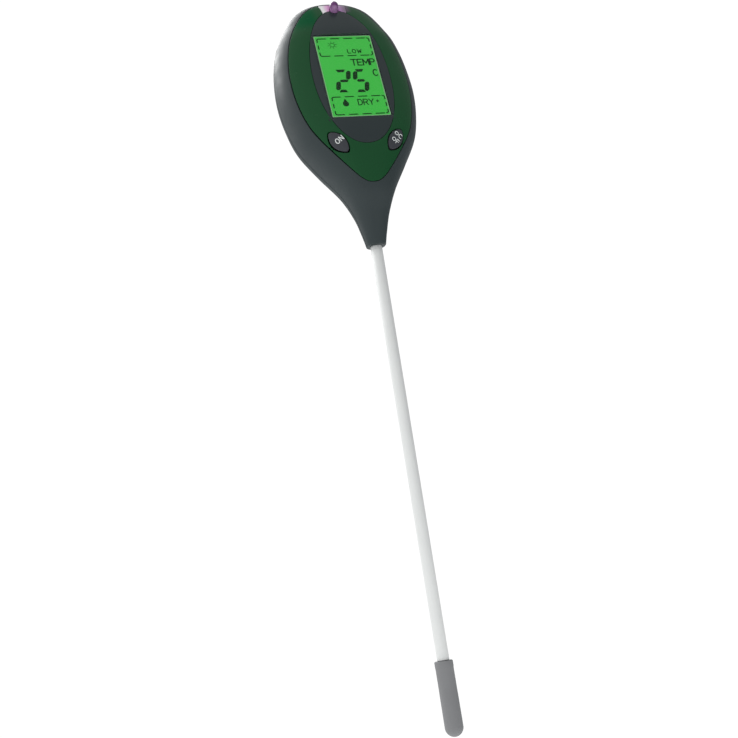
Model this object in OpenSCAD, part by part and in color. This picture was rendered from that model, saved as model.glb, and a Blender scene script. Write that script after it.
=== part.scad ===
// Soil moisture meter: a teardrop head on a slim metal probe.
// Frame: the probe's axis is Z, the head is up, the display looks towards -Y.
// The origin is on the probe's axis, at the end face of the head's neck.

/* [Probe] */
// Radius of the probe tube
tube_r = 2.5; // [2.4:0.05:2.6]
// Length of bare tube below the neck
tube_len = 173.8; // [150:0.2:175]
// Height of the tube's narrowed end inside the neck
spigot_h = 26; // [24:0.5:27]
// Length of the tip electrode, below the insulator
tip_len = 22.7; // [21:0.1:23]
// Radius of the tip electrode
tip_r = 2.3; // [2.2:0.05:2.35]

/* [Cap] */
// Outer radius of the rubber cap
cap_r = 3.75; // [3.5:0.05:4]
// Length of the cap
cap_len = 29.5; // [29.2:0.1:31]

/* [Display] */
// Lean of the display away from the probe's axis, in degrees
face_tilt = 14.4; // [14:0.1:15]
// Half width of the oval window
win_u = 17.4; // [17.2:0.1:17.8]
// Half height of the oval window below the display's centre
win_v = 36.2; // [36:0.1:36.6]
// Half height of the oval window above the display's centre
win_top = 39.1; // [38.8:0.1:39.4]
// Width of the lit display
lcd_w = 26.6; // [26:0.1:26.8]
// Height of the lit display
lcd_h = 45.6; // [45:0.1:45.8]

/* [Keys] */
// Tip-to-tip length of each leaf-shaped key
key_len = 12.8; // [12:0.1:13]
// Width of each key
key_wid = 6.2; // [5.8:0.1:6.4]
// Gap between a key and the plate
key_gap = 0.4; // [0.3:0.05:0.5]

/* [Shells] */
// Wall of the front shell, trim plate included
front_wall = 2.4; // [2.4:0.1:2.6]
// Wall of the rear shell
rear_wall = 2.0; // [1.8:0.1:2.2]
// Thickness of the trim plate
plate_t = 1.2; // [1.1:0.1:1.3]

/* [Hidden] */
$fn = 48;
// Head sections: height, half width, front, widest line, back
ST = [
    [0, 4.1, -4.3, 0, 4.3],
    [6, 5.4, -6.1, -0.3, 5.6],
    [14, 7.6, -8.7, -0.4, 7.6],
    [24, 11.9, -12.5, 1, 11.5],
    [36, 19.2, -13.6, 5, 18],
    [48, 26, -13.2, 7.8, 23.2],
    [60, 29.4, -10.8, 9.9, 26.4],
    [72, 30.9, -7.6, 12, 28.6],
    [84, 30.4, -4.5, 14.2, 29.6],
    [95, 28.5, -1.7, 15.6, 28.8],
    [104, 25.1, 1.2, 16.2, 26.6],
    [116.6, 15.9, 7.4, 15.2, 20.2],
    [120.6, 0, 11.6, 11.6, 11.6]
];
// Section exponents: the front is flatter than the back
nf = 2.8;
nb = 2.2;
NR = 36;   // points in a ring
SUB = 2;   // rings per station
ztop = 120.6;

function cr(a, b, c, d, t) =
    0.5 * (2 * b + (c - a) * t + (2 * a - 5 * b + 4 * c - d) * t * t + (3 * b - a - 3 * c + d) * t * t * t);
function last2() = ST[len(ST) - 2];
// Past the top the profile mirrors, so that it closes rounded
function st(i) = i < 0 ? 2 * ST[0] - ST[1]
    : i < len(ST) ? ST[i]
    : [last2()[0], -last2()[1], last2()[2], last2()[3], last2()[4]];
function sec(i, t) = cr(st(i - 1), st(i), st(i + 1), st(i + 2), t);
SECS = [for (i = [0 : len(ST) - 2]) for (k = [0 : SUB - 1]) sec(i, k / SUB)];
function sg(a) = a < 0 ? -1 : 1;
function pt(s, o, a) =
    let (c = cos(a), t = sin(a), n = t < 0 ? nf : nb, e = sg(t) * pow(abs(t), 2 / n))
    [(s[1] - o) * sg(c) * pow(abs(c), 2 / n),
     s[3] + e * (t < 0 ? s[3] - s[2] - o : s[4] - s[3] - o),
     s[0] - o * pow(s[0] / ztop, 6)];

// The head's closed form, moved in by o, from height z0 up
module head_form(o = 0, z0 = -1) {
    R = [for (s = SECS) if (s[0] >= z0 && s[1] - o > 1.2 && s[4] - s[3] - o > 0.4) s];
    n = len(R);
    P = concat([for (s = R) for (j = [0 : NR - 1]) pt(s, o, (j + 0.5) * 360 / NR)],
               [[0, ST[len(ST) - 1][3], ztop - o]]);
    F = concat(
        [[for (j = [0 : NR - 1]) j]],
        [for (i = [0 : n - 2]) for (j = [0 : NR - 1]) let (k = (j + 1) % NR)
            [i * NR + j, (i + 1) * NR + j, i * NR + k]],
        [for (i = [0 : n - 2]) for (j = [0 : NR - 1]) let (k = (j + 1) % NR)
            [i * NR + k, (i + 1) * NR + j, (i + 1) * NR + k]],
        [for (j = [0 : NR - 1]) [(n - 1) * NR + j, n * NR, (n - 1) * NR + (j + 1) % NR]]);
    polyhedron(P, F, convexity = 6);
}

// The side of the parting surface that holds the display
module front_side() {
    rotate([90, 0, 90]) linear_extrude(90, center = true)
        polygon(concat([[-60, -5], [0, -5]],
            [for (s = SECS) [s[3], s[0]]],
            [[11.6, ztop + 5], [-60, ztop + 5]]));
}

// Frame of the display: x across, z up the face, +y into the head
lcd_y = -5.64;
lcd_z = 77.34;
module face() { translate([0, lcd_y, lcd_z]) rotate([-face_tilt, 0, 0]) children(); }
// A prism of a flat outline (x across, y up the face) between depths a and b
module prism(a, b) { face() translate([0, b, 0]) rotate([90, 0, 0]) linear_extrude(b - a) children(); }
// A round rod into the head at (u, v), between depths a and b
module rod(u, v, r, a, b) { face() translate([u, b, v]) rotate([90, 0, 0]) cylinder(h = b - a, r = r); }
module block(u0, u1, v0, v1, a, b) { face() translate([u0, a, v0]) cube([u1 - u0, b - a, v1 - v0]); }

// Trim plate: height up the face, half width
PL = [[-52.6, 2.2], [-50.6, 5.6], [-47.6, 8.2], [-43, 11.4], [-37.5, 14.9], [-32, 18.4], [-26, 21.4],
    [-19.5, 23.6], [-12, 25.2], [-4, 26.2], [5, 26.3], [13, 25.4], [20, 23.9], [27, 21.4],
    [33, 18.2], [38, 14.6], [41, 11.4], [43, 7.6], [43.8, 3.5]];
module plate_outline(g = 0) {
    polygon(concat([for (p = PL) [p[1] + g, p[0] + g * (p[0] > 0 ? 1 : -1)]],
        [for (i = [len(PL) - 1 : -1 : 0]) [-PL[i][1] - g, PL[i][0] + g * (PL[i][0] > 0 ? 1 : -1)]]));
}
// Oval of the window, grown by g
module oval(g = 0) {
    polygon([for (a = [0 : 6 : 354]) a <= 180
        ? [(win_u + g) * sg(cos(a)) * pow(abs(cos(a)), 1.05), (win_top + g) * sin(a)]
        : [(win_u + g) * sg(cos(a)) * pow(abs(cos(a)), 0.93), -(win_v + g) * pow(abs(sin(a)), 0.93)]]);
}
// Leaf outline of a key, centred, long axis along x, grown by g
module leaf(g = 0) {
    a = key_len / 2;
    b = key_wid / 2;
    rr = (a * a + b * b) / (2 * b);
    intersection() {
        translate([0, rr - b]) circle(r = rr + g, $fn = 96);
        translate([0, b - rr]) circle(r = rr + g, $fn = 96);
        square([2 * (a + g * 1.4), 4 * b], center = true);
    }
}
key_u = 12.6;
key_v = -34.5;
key_a = 53.5;
// Centre of each key's switch
sw_u = 11.2;
sw_v = -33.6;
module key_leaf(s, g = 0) { translate([s * key_u, key_v]) rotate(s * key_a) leaf(g); }
// Light window at the top edge
module wedge(g = 0) { polygon([[-5 - g, 33], [5 + g, 33], [6.6 + g, 47], [-6.6 - g, 47]]); }

// Probe bores through the neck
module neck_bores() {
    translate([0, 0, -1]) cylinder(h = 30, r = 2.35);
    translate([0, 0, 15.9]) cylinder(h = 4.2, r = 4.3);
}
// Housing screw places: u, v, depth of the joint between bosses, depth of the head's seat
HS = [[-23.5, 15, 15, 20.5], [23.5, 15, 15, 20.5], [-9, -44.5, 17.5, 21.5], [9, -44.5, 17.5, 21.5]];
// Board screw places
BS = [[-11, 31], [11, 31], [0, -41.5]];
board_a = 8;
board_b = 9.6;
// Battery well
well_u = 13.7;
well_v0 = -38.4;
well_v1 = 18.4;
door_v0 = -35.4;
door_v1 = 20.4;
door_u = 13.4;
door_gap = 0.35;
hook_u = 5.5;

module front_housing() color([0.2, 0.22, 0.24]) {
    difference() {
        union() {
            difference() {
                intersection() { head_form(0); front_side(); }
                head_form(front_wall, 22);
                // recess for the trim plate
                difference() {
                    prism(-20, 14) plate_outline(0.12);
                    head_form(plate_t);
                }
            }
            // flat frame around the display
            intersection() { prism(1.6, 3.1) oval(1.5); head_form(plate_t); }
            // bosses
            intersection() {
                union() {
                    for (p = HS) rod(p[0], p[1], 2.5, 2, p[2]);
                    for (p = BS) rod(p[0], p[1], 2.2, 2, board_a);
                }
                head_form(plate_t + 0.3);
            }
        }
        block(-lcd_w / 2 - 0.25, lcd_w / 2 + 0.25, -lcd_h / 2 - 0.25, lcd_h / 2 + 0.25, -5, 6);
        // room for the display's holder, the keys and their switches
        block(-16.9, 16.9, -26.5, 26.5, 3.12, board_a + 0.1);
        for (s = [-1, 1]) {
            prism(-5, 9) key_leaf(s, key_gap);
            intersection() { prism(-5, 9) key_leaf(s, 1.35); head_form(plate_t); }
            block(s * sw_u - 2.7, s * sw_u + 2.7, sw_v - 2.7, sw_v + 2.7, 5, board_a + 0.1);
        }
        intersection() { prism(-5, 9.5) wedge(0.08); prism(-6, 10) plate_outline(0.12); }
        for (p = HS) rod(p[0], p[1], 1.25, 7.5, 30);
        for (p = BS) rod(p[0], p[1], 0.95, 5.6, 12);
        neck_bores();
    }
}

module rear_housing() color([0.2, 0.22, 0.24]) {
    difference() {
        union() {
            difference() {
                head_form(0);
                front_side();
                head_form(rear_wall, 22);
            }
            // battery well, out to the skin
            intersection() {
                union() {
                    block(-well_u - 1, well_u + 1, well_v0 - 1, well_v1 + 1, 10, 40);
                    block(-well_u - 1, well_u + 1, well_v1, door_v1 + 1.4, 25, 40);
                }
                head_form(0.6);
            }
            intersection() {
                for (p = HS) rod(p[0], p[1], p[2] > 16 ? 3.1 : 3.2, p[2], 40);
                head_form(0.6);
            }
        }
        block(-well_u, well_u, well_v0, well_v1, 11, 27.01);
        block(-door_u - door_gap, door_u + door_gap, door_v0 - door_gap, door_v1 + door_gap, 27, 50);
        // pockets for the door's hooks
        for (u = [-hook_u, hook_u]) block(u - 2.1, u + 2.1, well_v0, door_v0, 26, 30.6);
        // way for the battery leads
        block(-4, 4, well_v0 - 2, well_v0 + 1, 12.5, 17);
        for (p = HS) {
            rod(p[0], p[1], 1.4, p[2] - 1, p[3] + 1);
            rod(p[0], p[1], 2.5, p[3], 50);
        }
        neck_bores();
    }
}

module face_plate() color([0.1, 0.32, 0.18]) {
    difference() {
        intersection() { head_form(0); prism(-20, 14) plate_outline(0); }
        head_form(plate_t);
        prism(-20, 20) oval(0.08);
        for (s = [-1, 1]) prism(-5, 20) key_leaf(s, key_gap);
        prism(-20, 20) wedge(0.08);
    }
}

module display_window() color([0.2, 0.22, 0.23, 0.8]) {
    difference() {
        intersection() { prism(-6, 6) oval(0); head_form(0.05); }
        head_form(plate_t);
        // room for the display, which stands flat behind the curved window
        block(-lcd_w / 2 - 0.1, lcd_w / 2 + 0.1, -lcd_h / 2 - 0.1, lcd_h / 2 + 0.1, 0.65, 3);
        dome_axis() translate([0, 0, -8]) cylinder(h = 12, r = 1.95);
    }
}

module light_window() color([0.85, 0.75, 0.9, 0.6]) {
    difference() {
        intersection() {
            head_form(0);
            prism(-6, 9) wedge(0);
            prism(-6, 9.5) plate_outline(0);
        }
        head_form(front_wall);
        prism(-20, 20) oval(0.08);
        dome_axis() translate([0, 0, -8]) cylinder(h = 12, r = 1.95);
    }
}

// Frame of the sensor dome: z along the way it looks
module dome_axis() { translate([0, 4.7, 116.1]) rotate([52, 0, 0]) children(); }
module sensor_dome() color([0.45, 0.1, 0.55]) {
    dome_axis() {
        translate([0, 0, -5.2]) cylinder(h = 5.2, r = 1.9);
        intersection() {
            sphere(r = 1.9);
            translate([-3, -3, 0]) cube([6, 6, 3]);
        }
    }
}

module light_sensor() color([0.15, 0.15, 0.17]) {
    block(-1.5, 1.5, 34.4, 37.4, 6.7, board_a);
}

module lcd_glass() color([0.27, 0.75, 0.3]) {
    block(-lcd_w / 2, lcd_w / 2, -lcd_h / 2, lcd_h / 2, 0.7, 3.2);
    block(-15.4, 15.4, -25, 25, 3.2, 4.3);
}

module backlight_panel() color([0.9, 0.95, 0.9]) {
    block(-15, 15, -22.8, 22.8, 4.35, 6.6);
}

module zebra_strips() color([0.85, 0.6, 0.65]) {
    for (v = [-24.9, 22.9]) block(-14, 14, v, v + 2, 4.35, board_a);
}

module lcd_holder() color([0.9, 0.9, 0.88]) {
    difference() {
        block(-16.5, 16.5, -26.1, 26.1, 3.2, board_a);
        block(-15.5, 15.5, -25.1, 25.1, 2, board_a + 1);
    }
    // bars under the backlight
    for (u = [-15.5, 13.5]) block(u, u + 2, -22.5, 22.5, 6.65, board_a);
}

module circuit_board() color([0.05, 0.35, 0.15]) {
    difference() {
        prism(board_a, board_b) polygon([[-8, 38.4], [8, 38.4], [14, 34.5], [20.4, 24], [20.4, -22], [18.4, -30],
            [11, -38], [6.4, -43.4], [-6.4, -43.4], [-11, -38], [-18.4, -30], [-20.4, -22], [-20.4, 24], [-14, 34.5]]);
        for (p = BS) rod(p[0], p[1], 1.05, 7, 11);
    }
}

module controller_chip() color([0.05, 0.05, 0.05]) {
    difference() {
        face() translate([0, board_a, -31.5]) rotate([90, 0, 0]) scale([1, 1, 0.32]) sphere(r = 4.2);
        block(-6, 6, -38, -25, board_a, 12);
    }
}

module board_screws() color([0.75, 0.75, 0.78]) {
    for (p = BS) difference() {
        union() {
            rod(p[0], p[1], 0.9, 6, board_b);
            rod(p[0], p[1], 1.9, board_b, board_b + 1.3);
        }
        block(p[0] - 1.3, p[0] + 1.3, p[1] - 0.25, p[1] + 0.25, board_b + 0.7, 20);
        block(p[0] - 0.25, p[0] + 0.25, p[1] - 1.3, p[1] + 1.3, board_b + 0.7, 20);
    }
}

module key_switches() color([0.1, 0.1, 0.11]) {
    for (s = [-1, 1]) difference() {
        block(s * sw_u - 2.25, s * sw_u + 2.25, sw_v - 2.25, sw_v + 2.25, 6.4, board_a);
        rod(s * sw_u, sw_v, 1.25, 5, 7.7);
    }
}

module plunger(s) { rod(s * sw_u, sw_v, 1.2, 5.6, 7.15); }
module on_switch_plunger() color([0.85, 0.8, 0.2]) plunger(-1);
module unit_switch_plunger() color([0.85, 0.8, 0.2]) plunger(1);

module key_cap(s) {
    difference() {
        union() {
            intersection() {
                prism(-3, 6.1) key_leaf(s, 0);
                head_form(-0.35);
            }
            // rim that holds the key behind the plate
            intersection() {
                prism(-3, 6.1) key_leaf(s, 0.95);
                head_form(1.5);
            }
        }
        head_form(2.1);
    }
    rod(s * sw_u, sw_v, 1.8, 3, 5.6);
}
module on_button() color([0.24, 0.24, 0.27]) key_cap(-1);
module unit_button() color([0.24, 0.24, 0.27]) key_cap(1);

module battery() color([0.15, 0.15, 0.4]) {
    block(-13.2, 13.2, -31, 17.4, 11.2, 28.6);
    // terminals
    for (u = [-6.3, 6.3]) rod_v(u, 19.9, 2.6, -33.6, -31);
}
// A rod along the face's height
module rod_v(u, w, r, v0, v1) { face() translate([u, w, v0]) cylinder(h = v1 - v0, r = r); }

module battery_snap() color([0.08, 0.08, 0.08]) {
    difference() {
        block(-12.6, 12.6, -36.6, -31.1, 13.4, 26.4);
        for (u = [-6.3, 6.3]) rod_v(u, 19.9, 2.75, -34, -30);
    }
}

// A round wire along a route of points
function unit(a) = a / norm(a);
function dir_at(R, i) = unit(R[min(i + 1, len(R) - 1)] - R[max(i - 1, 0)]);
module wire(R, r, n = 8) {
    P = [for (i = [0 : len(R) - 1])
        let (d = dir_at(R, i), e = unit(cross(d, [1, 0.03, 0.02])), f = cross(d, e))
        for (j = [0 : n - 1]) R[i] + r * (cos(j * 360 / n) * e + sin(j * 360 / n) * f)];
    m = len(R);
    F = concat([[for (j = [n - 1 : -1 : 0]) j]],
        [for (i = [0 : m - 2]) for (j = [0 : n - 1]) [i * n + j, i * n + (j + 1) % n, (i + 1) * n + (j + 1) % n]],
        [for (i = [0 : m - 2]) for (j = [0 : n - 1]) [i * n + j, (i + 1) * n + (j + 1) % n, (i + 1) * n + j]],
        [[for (j = [0 : n - 1]) (m - 1) * n + j]]);
    polyhedron(P, F);
}
// Route points from the display's frame: u, depth, v
module lead(u) {
    face() wire([[u, 15, -36.7], [u, 15, -39.6], [u, 14.6, -41], [u * 1.3, 13, -42], [u * 1.4, 11.4, -42.2], [u * 1.4, 10.4, -42.1], [u * 1.4, board_b + 0.05, -42]], 0.55);
}
module battery_leads() color([0.7, 0.1, 0.1]) { lead(-2.6); lead(2.6); }

module battery_door() color([0.2, 0.22, 0.24]) {
    difference() {
        union() {
            intersection() {
                head_form(0);
                prism(18, 50) translate([-door_u, door_v0]) square([2 * door_u, door_v1 - door_v0]);
            }
        }
        head_form(1.6);
        // thumb grip
        for (v = [10, 12.5, 15]) block(-6, 6, v, v + 1, 30.4, 40);
    }
    // hooks that reach under the lower edge
    for (u = [-hook_u, hook_u]) {
        block(u - 1.5, u + 1.5, door_v0 - 2.1, door_v0 + 2, 28.8, 30.2);
        intersection() {
            block(u - 1.5, u + 1.5, door_v0, door_v0 + 2, 28.8, 40);
            head_form(0.8);
        }
    }
}

module battery_pad() color([0.12, 0.12, 0.12]) {
    intersection() {
        block(-8, 8, -18, 4, 28.95, 40);
        head_form(1.62);
    }
}

module housing_screws() color([0.6, 0.6, 0.62]) {
    for (p = HS) difference() {
        union() {
            rod(p[0], p[1], 1.2, 8, p[3] + 0.5);
            rod(p[0], p[1], 2.2, p[3], p[3] + 1.6);
        }
        block(p[0] - 1.5, p[0] + 1.5, p[1] - 0.3, p[1] + 0.3, p[3] + 0.8, 40);
        block(p[0] - 0.3, p[0] + 0.3, p[1] - 1.5, p[1] + 1.5, p[3] + 0.8, 40);
    }
}

module probe_tube() color([0.85, 0.86, 0.86]) {
    difference() {
        union() {
            translate([0, 0, -tube_len]) cylinder(h = tube_len, r = tube_r);
            cylinder(h = spigot_h, r = 2.3);
        }
        translate([0, 0, -tube_len - 1]) cylinder(h = tube_len + spigot_h + 2, r = 1.9);
    }
}

module probe_collar() color([0.7, 0.6, 0.3]) {
    translate([0, 0, 16]) difference() {
        cylinder(h = 4, r = 4.2);
        translate([0, 0, -1]) cylinder(h = 6, r = 2.32);
    }
}

module probe_insulator() color([0.15, 0.15, 0.15]) {
    difference() {
        union() {
            translate([0, 0, -tube_len - 4]) cylinder(h = 4, r = tip_r);
            translate([0, 0, -tube_len]) cylinder(h = 4, r = 1.85);
        }
        translate([0, 0, -tube_len - 5]) cylinder(h = 10, r = 1.3);
    }
}

tip_top = -tube_len - 4;
module probe_tip() color([0.78, 0.78, 0.76]) {
    difference() {
        union() {
            rotate_extrude() polygon([[0, tip_top], [tip_r, tip_top], [tip_r, tip_top - tip_len + 8.5], [0.9, tip_top - tip_len + 0.9],
                [0.6, tip_top - tip_len + 0.25], [0, tip_top - tip_len]]);
            translate([0, 0, tip_top]) cylinder(h = 3, r = 1.25);
        }
        translate([0, 0, tip_top - 11]) cylinder(h = 16, r = 0.9);
    }
}

module thermistor() color([0.1, 0.1, 0.1]) {
    translate([0, 0, tip_top - 9.6]) {
        sphere(r = 0.8);
        cylinder(h = 3, r = 0.7);
    }
}

module probe_leads() color([0.8, 0.8, 0.2]) {
    for (u = [-0.45, 0.45])
        wire([[u, 0, tip_top - 6.5], [u, 0, -tube_len], [u, 0, -90], [u, 0, 0], [u, 0, spigot_h], [u * 1.3, -0.3, spigot_h + 2.4],
            [u * 2.6, -1.2, spigot_h + 4.4], [u * 4, -2.6, spigot_h + 6], [u * 5, -3.9, spigot_h + 6.9], [u * 5, -4.7, spigot_h + 7.3]], 0.28);
}

module probe_cap() color([0.5, 0.51, 0.52]) {
    difference() {
        translate([0, 0, -tube_len - 0.2]) rotate_extrude() polygon(concat(
            [[0, 0], [cap_r - 0.5, 0], [cap_r - 0.1, -0.25], [cap_r, -0.7]],
            [for (a = [0 : 7.5 : 90]) [cap_r * cos(a), -cap_len + cap_r - cap_r * sin(a)]]));
        translate([0, 0, -tube_len - 16.3]) cylinder(h = 17, r = tip_r + 0.05);
        rotate_extrude() polygon([[0, -tube_len - 16.2], [tip_r + 0.05, -tube_len - 16.2], [tip_r + 0.05, tip_top - tip_len + 8.3],
            [0.95, tip_top - tip_len + 0.6], [0.7, tip_top - tip_len - 0.1], [0, tip_top - tip_len - 0.3]]);
    }
}

front_housing();
rear_housing();
face_plate();
display_window();
light_window();
sensor_dome();
light_sensor();
lcd_glass();
backlight_panel();
zebra_strips();
lcd_holder();
circuit_board();
controller_chip();
board_screws();
key_switches();
on_switch_plunger();
unit_switch_plunger();
on_button();
unit_button();
battery();
battery_snap();
battery_leads();
battery_door();
battery_pad();
housing_screws();
probe_tube();
probe_collar();
probe_insulator();
probe_tip();
thermistor();
probe_leads();
probe_cap();
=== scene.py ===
import math

import bpy
import bmesh
import numpy as np
from mathutils import Matrix, Vector
from mathutils.geometry import delaunay_2d_cdt


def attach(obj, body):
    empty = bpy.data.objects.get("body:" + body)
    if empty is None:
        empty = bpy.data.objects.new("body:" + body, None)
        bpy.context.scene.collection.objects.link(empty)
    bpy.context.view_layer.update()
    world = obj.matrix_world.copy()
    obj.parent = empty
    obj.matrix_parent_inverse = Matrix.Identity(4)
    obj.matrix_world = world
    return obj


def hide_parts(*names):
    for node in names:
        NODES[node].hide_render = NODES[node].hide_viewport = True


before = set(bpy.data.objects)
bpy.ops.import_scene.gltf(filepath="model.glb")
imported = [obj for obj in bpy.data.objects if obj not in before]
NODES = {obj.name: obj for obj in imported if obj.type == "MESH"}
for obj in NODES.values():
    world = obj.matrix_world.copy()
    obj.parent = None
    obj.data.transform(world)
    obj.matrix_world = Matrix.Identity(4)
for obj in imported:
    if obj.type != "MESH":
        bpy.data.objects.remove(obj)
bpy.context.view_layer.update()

PI = math.pi

# ---------------------------------------------------------------- the head's form (mm)
ST = np.array([
    [0, 4.1, -4.3, 0, 4.3], [6, 5.4, -6.1, -0.3, 5.6], [14, 7.6, -8.7, -0.4, 7.6], [24, 11.9, -12.5, 1, 11.5],
    [36, 19.2, -13.6, 5, 18], [48, 26, -13.2, 7.8, 23.2], [60, 29.4, -10.8, 9.9, 26.4], [72, 30.9, -7.6, 12, 28.6],
    [84, 30.4, -4.5, 14.2, 29.6], [95, 28.5, -1.7, 15.6, 28.8], [104, 25.1, 1.2, 16.2, 26.6],
    [116.6, 15.9, 7.4, 15.2, 20.2], [120.6, 0, 11.6, 11.6, 11.6]], float)
NF, NB = 2.8, 2.2


def _table():
    g = ST[-2].copy()
    g[1] = -g[1]
    e = [2 * ST[0] - ST[1]] + list(ST) + [g]
    rows = []
    t = np.linspace(0, 1, 500, endpoint=False)[:, None]
    for i in range(len(ST) - 1):
        a, b, c, d = e[i], e[i + 1], e[i + 2], e[i + 3]
        rows.append(0.5 * (2 * b + (c - a) * t + (2 * a - 5 * b + 4 * c - d) * t * t + (3 * b - a - 3 * c + d) * t ** 3))
    rows.append(ST[-1][None])
    return np.vstack(rows)


TAB = _table()
ZTOP = 120.6


def sect(z):
    z = np.clip(z, 0, ZTOP - 1e-4)
    return [np.interp(z, TAB[:, 0], TAB[:, k]) for k in (1, 2, 3, 4)]


def implicit(P):
    W, yf, ym, yb = sect(P[:, 2])
    e = P[:, 1] - ym
    d = np.where(e < 0, ym - yf, yb - ym)
    n = np.where(e < 0, NF, NB)
    return ((np.abs(P[:, 0]) / W) ** n + (np.abs(e) / d) ** n) ** (1 / n)


def grad_normal(P):
    G = np.zeros_like(P)
    for k in range(3):
        h = 0.03
        A, B = P.copy(), P.copy()
        A[:, k] += h
        B[:, k] -= h
        if k == 2:
            A[:, 2] = np.minimum(A[:, 2], ZTOP - 2e-4)
        G[:, k] = (implicit(A) - implicit(B)) / np.maximum(A[:, k] - B[:, k], 1e-6)
    return G / np.maximum(np.linalg.norm(G, axis=1, keepdims=True), 1e-9)


# frame of the display: u across, v up the face, w into the head
TH = math.radians(14.4)
SN, CS = math.sin(TH), math.cos(TH)
LY, LZ = -5.64, 77.34
NFACE = np.array([0.0, -CS, SN])


def face_to(u, v, w):
    u, v, w = np.broadcast_arrays(np.asarray(u, float), np.asarray(v, float), np.asarray(w, float))
    return np.stack([u, LY + v * SN + w * CS, LZ + v * CS - w * SN], -1)


def to_face(P):
    dy, dz = P[..., 1] - LY, P[..., 2] - LZ
    return P[..., 0], dy * SN + dz * CS, dy * CS - dz * SN


def solve_w(u, v, front=True):
    u, v = np.asarray(u, float), np.asarray(v, float)
    lo, hi = (np.full(u.shape, -14.0), np.full(u.shape, 13.0)) if front else (np.full(u.shape, 13.0), np.full(u.shape, 46.0))
    for _ in range(44):
        m = (lo + hi) / 2
        P = face_to(u, v, m)
        W, yf, ym, yb = sect(P[:, 2])
        n = NF if front else NB
        r = np.clip(1 - np.clip(np.abs(P[:, 0]) / W, 0, 1) ** n, 0, 1) ** (1 / n)
        if front:
            inside = (P[:, 1] > ym - (ym - yf) * r) & (P[:, 2] < ZTOP) & (np.abs(P[:, 0]) < W)
            hi, lo = np.where(inside, m, hi), np.where(inside, lo, m)
        else:
            inside = P[:, 1] < ym + (yb - ym) * r
            lo, hi = np.where(inside, m, lo), np.where(inside, hi, m)
    return (lo + hi) / 2


class FaceMap:
    """The skin seen square to the display, from the front or from the back."""

    def __init__(self, front=True):
        self.front, self.s = front, (1 if front else -1)

    def pos(self, Q):
        u, v = Q[:, 0] * self.s, Q[:, 1]
        return face_to(u, v, solve_w(u, v, self.front))

    def nrm(self, P):
        return grad_normal(P)


class PlaneMap:
    """A flat plane of the display's frame at depth w."""

    def __init__(self, w):
        self.w = w

    def pos(self, Q):
        return face_to(Q[:, 0], Q[:, 1], np.full(len(Q), self.w))

    def nrm(self, P):
        return np.tile(NFACE, (len(P), 1))


class ShellMap:
    """One side of the head, unrolled."""

    def __init__(self, front=True):
        self.front = front
        self.n = NF if front else NB
        self.p0 = -PI / 2 if front else PI / 2
        D = np.abs(TAB[:, 3] - TAB[:, 2]) if front else np.abs(TAB[:, 4] - TAB[:, 3])
        self.D = D
        st = np.diff(TAB, axis=0)
        self.M = np.concatenate([[0], np.cumsum(np.sqrt(st[:, 0] ** 2 + 0.35 * st[:, 1] ** 2 + 0.35 * np.diff(D) ** 2))])
        self.E = 0.85 * (TAB[:, 1] + D)

    def pos(self, Q):
        Y = np.clip(Q[:, 1], 0, self.M[-1] - 1e-4)
        W = np.interp(Y, self.M, TAB[:, 1])
        D = np.interp(Y, self.M, self.D)
        E = np.interp(Y, self.M, self.E)
        ym = np.interp(Y, self.M, TAB[:, 3])
        z = np.interp(Y, self.M, TAB[:, 0])
        ph = self.p0 + Q[:, 0] / np.maximum(E, 1e-6) * (PI / 2)
        c, s = np.cos(ph), np.sin(ph)
        r = (np.abs(c) ** self.n + np.abs(s) ** self.n) ** (1 / self.n)
        return np.stack([W * c / r, ym + D * s / r, z], -1)

    def inv(self, P):
        z = np.clip(P[:, 2], 0, ZTOP - 1e-4)
        Y = np.interp(z, TAB[:, 0], self.M)
        W = np.interp(z, TAB[:, 0], TAB[:, 1])
        D = np.interp(z, TAB[:, 0], self.D)
        ym = np.interp(z, TAB[:, 0], TAB[:, 3])
        E = np.interp(z, TAB[:, 0], self.E)
        ph = np.arctan2((P[:, 1] - ym) / D, P[:, 0] / W)
        d = (ph - self.p0 + PI) % (2 * PI) - PI
        return np.stack([d / (PI / 2) * E, Y], -1)

    def nrm(self, P):
        return grad_normal(P)

    def rim(self, s, zb):
        """The closed line s from the parting line, from zb above the neck's end round the top."""
        Y, D, E = self.M, self.D, self.E
        keep = (TAB[:, 0] >= zb) & (D > s)
        Y, D, E = Y[keep], D[keep], E[keep]
        q = s / D
        a = PI / 2 - np.arctan2(q, (1 - q ** self.n) ** (1 / self.n))
        side = np.stack([E * a / (PI / 2), Y], -1)
        Yb = np.interp(zb, TAB[:, 0], self.M)
        x0 = side[0, 0]
        bottom = np.stack([np.linspace(-x0, x0, 60), np.full(60, Yb)], -1)
        left = side[::-1].copy()
        left[:, 0] *= -1
        return np.vstack([bottom, side[1:], left[:-1]])


# ---------------------------------------------------------------- flat outlines
def spline_closed(pts, per=10):
    P = np.asarray(pts, float)
    n = len(P)
    out = []
    for i in range(n):
        a, b, c, d = P[i - 1], P[i], P[(i + 1) % n], P[(i + 2) % n]
        for k in range(per):
            t = k / per
            out.append(0.5 * (2 * b + (c - a) * t + (2 * a - 5 * b + 4 * c - d) * t * t + (3 * b - a - 3 * c + d) * t ** 3))
    return np.array(out)


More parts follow.
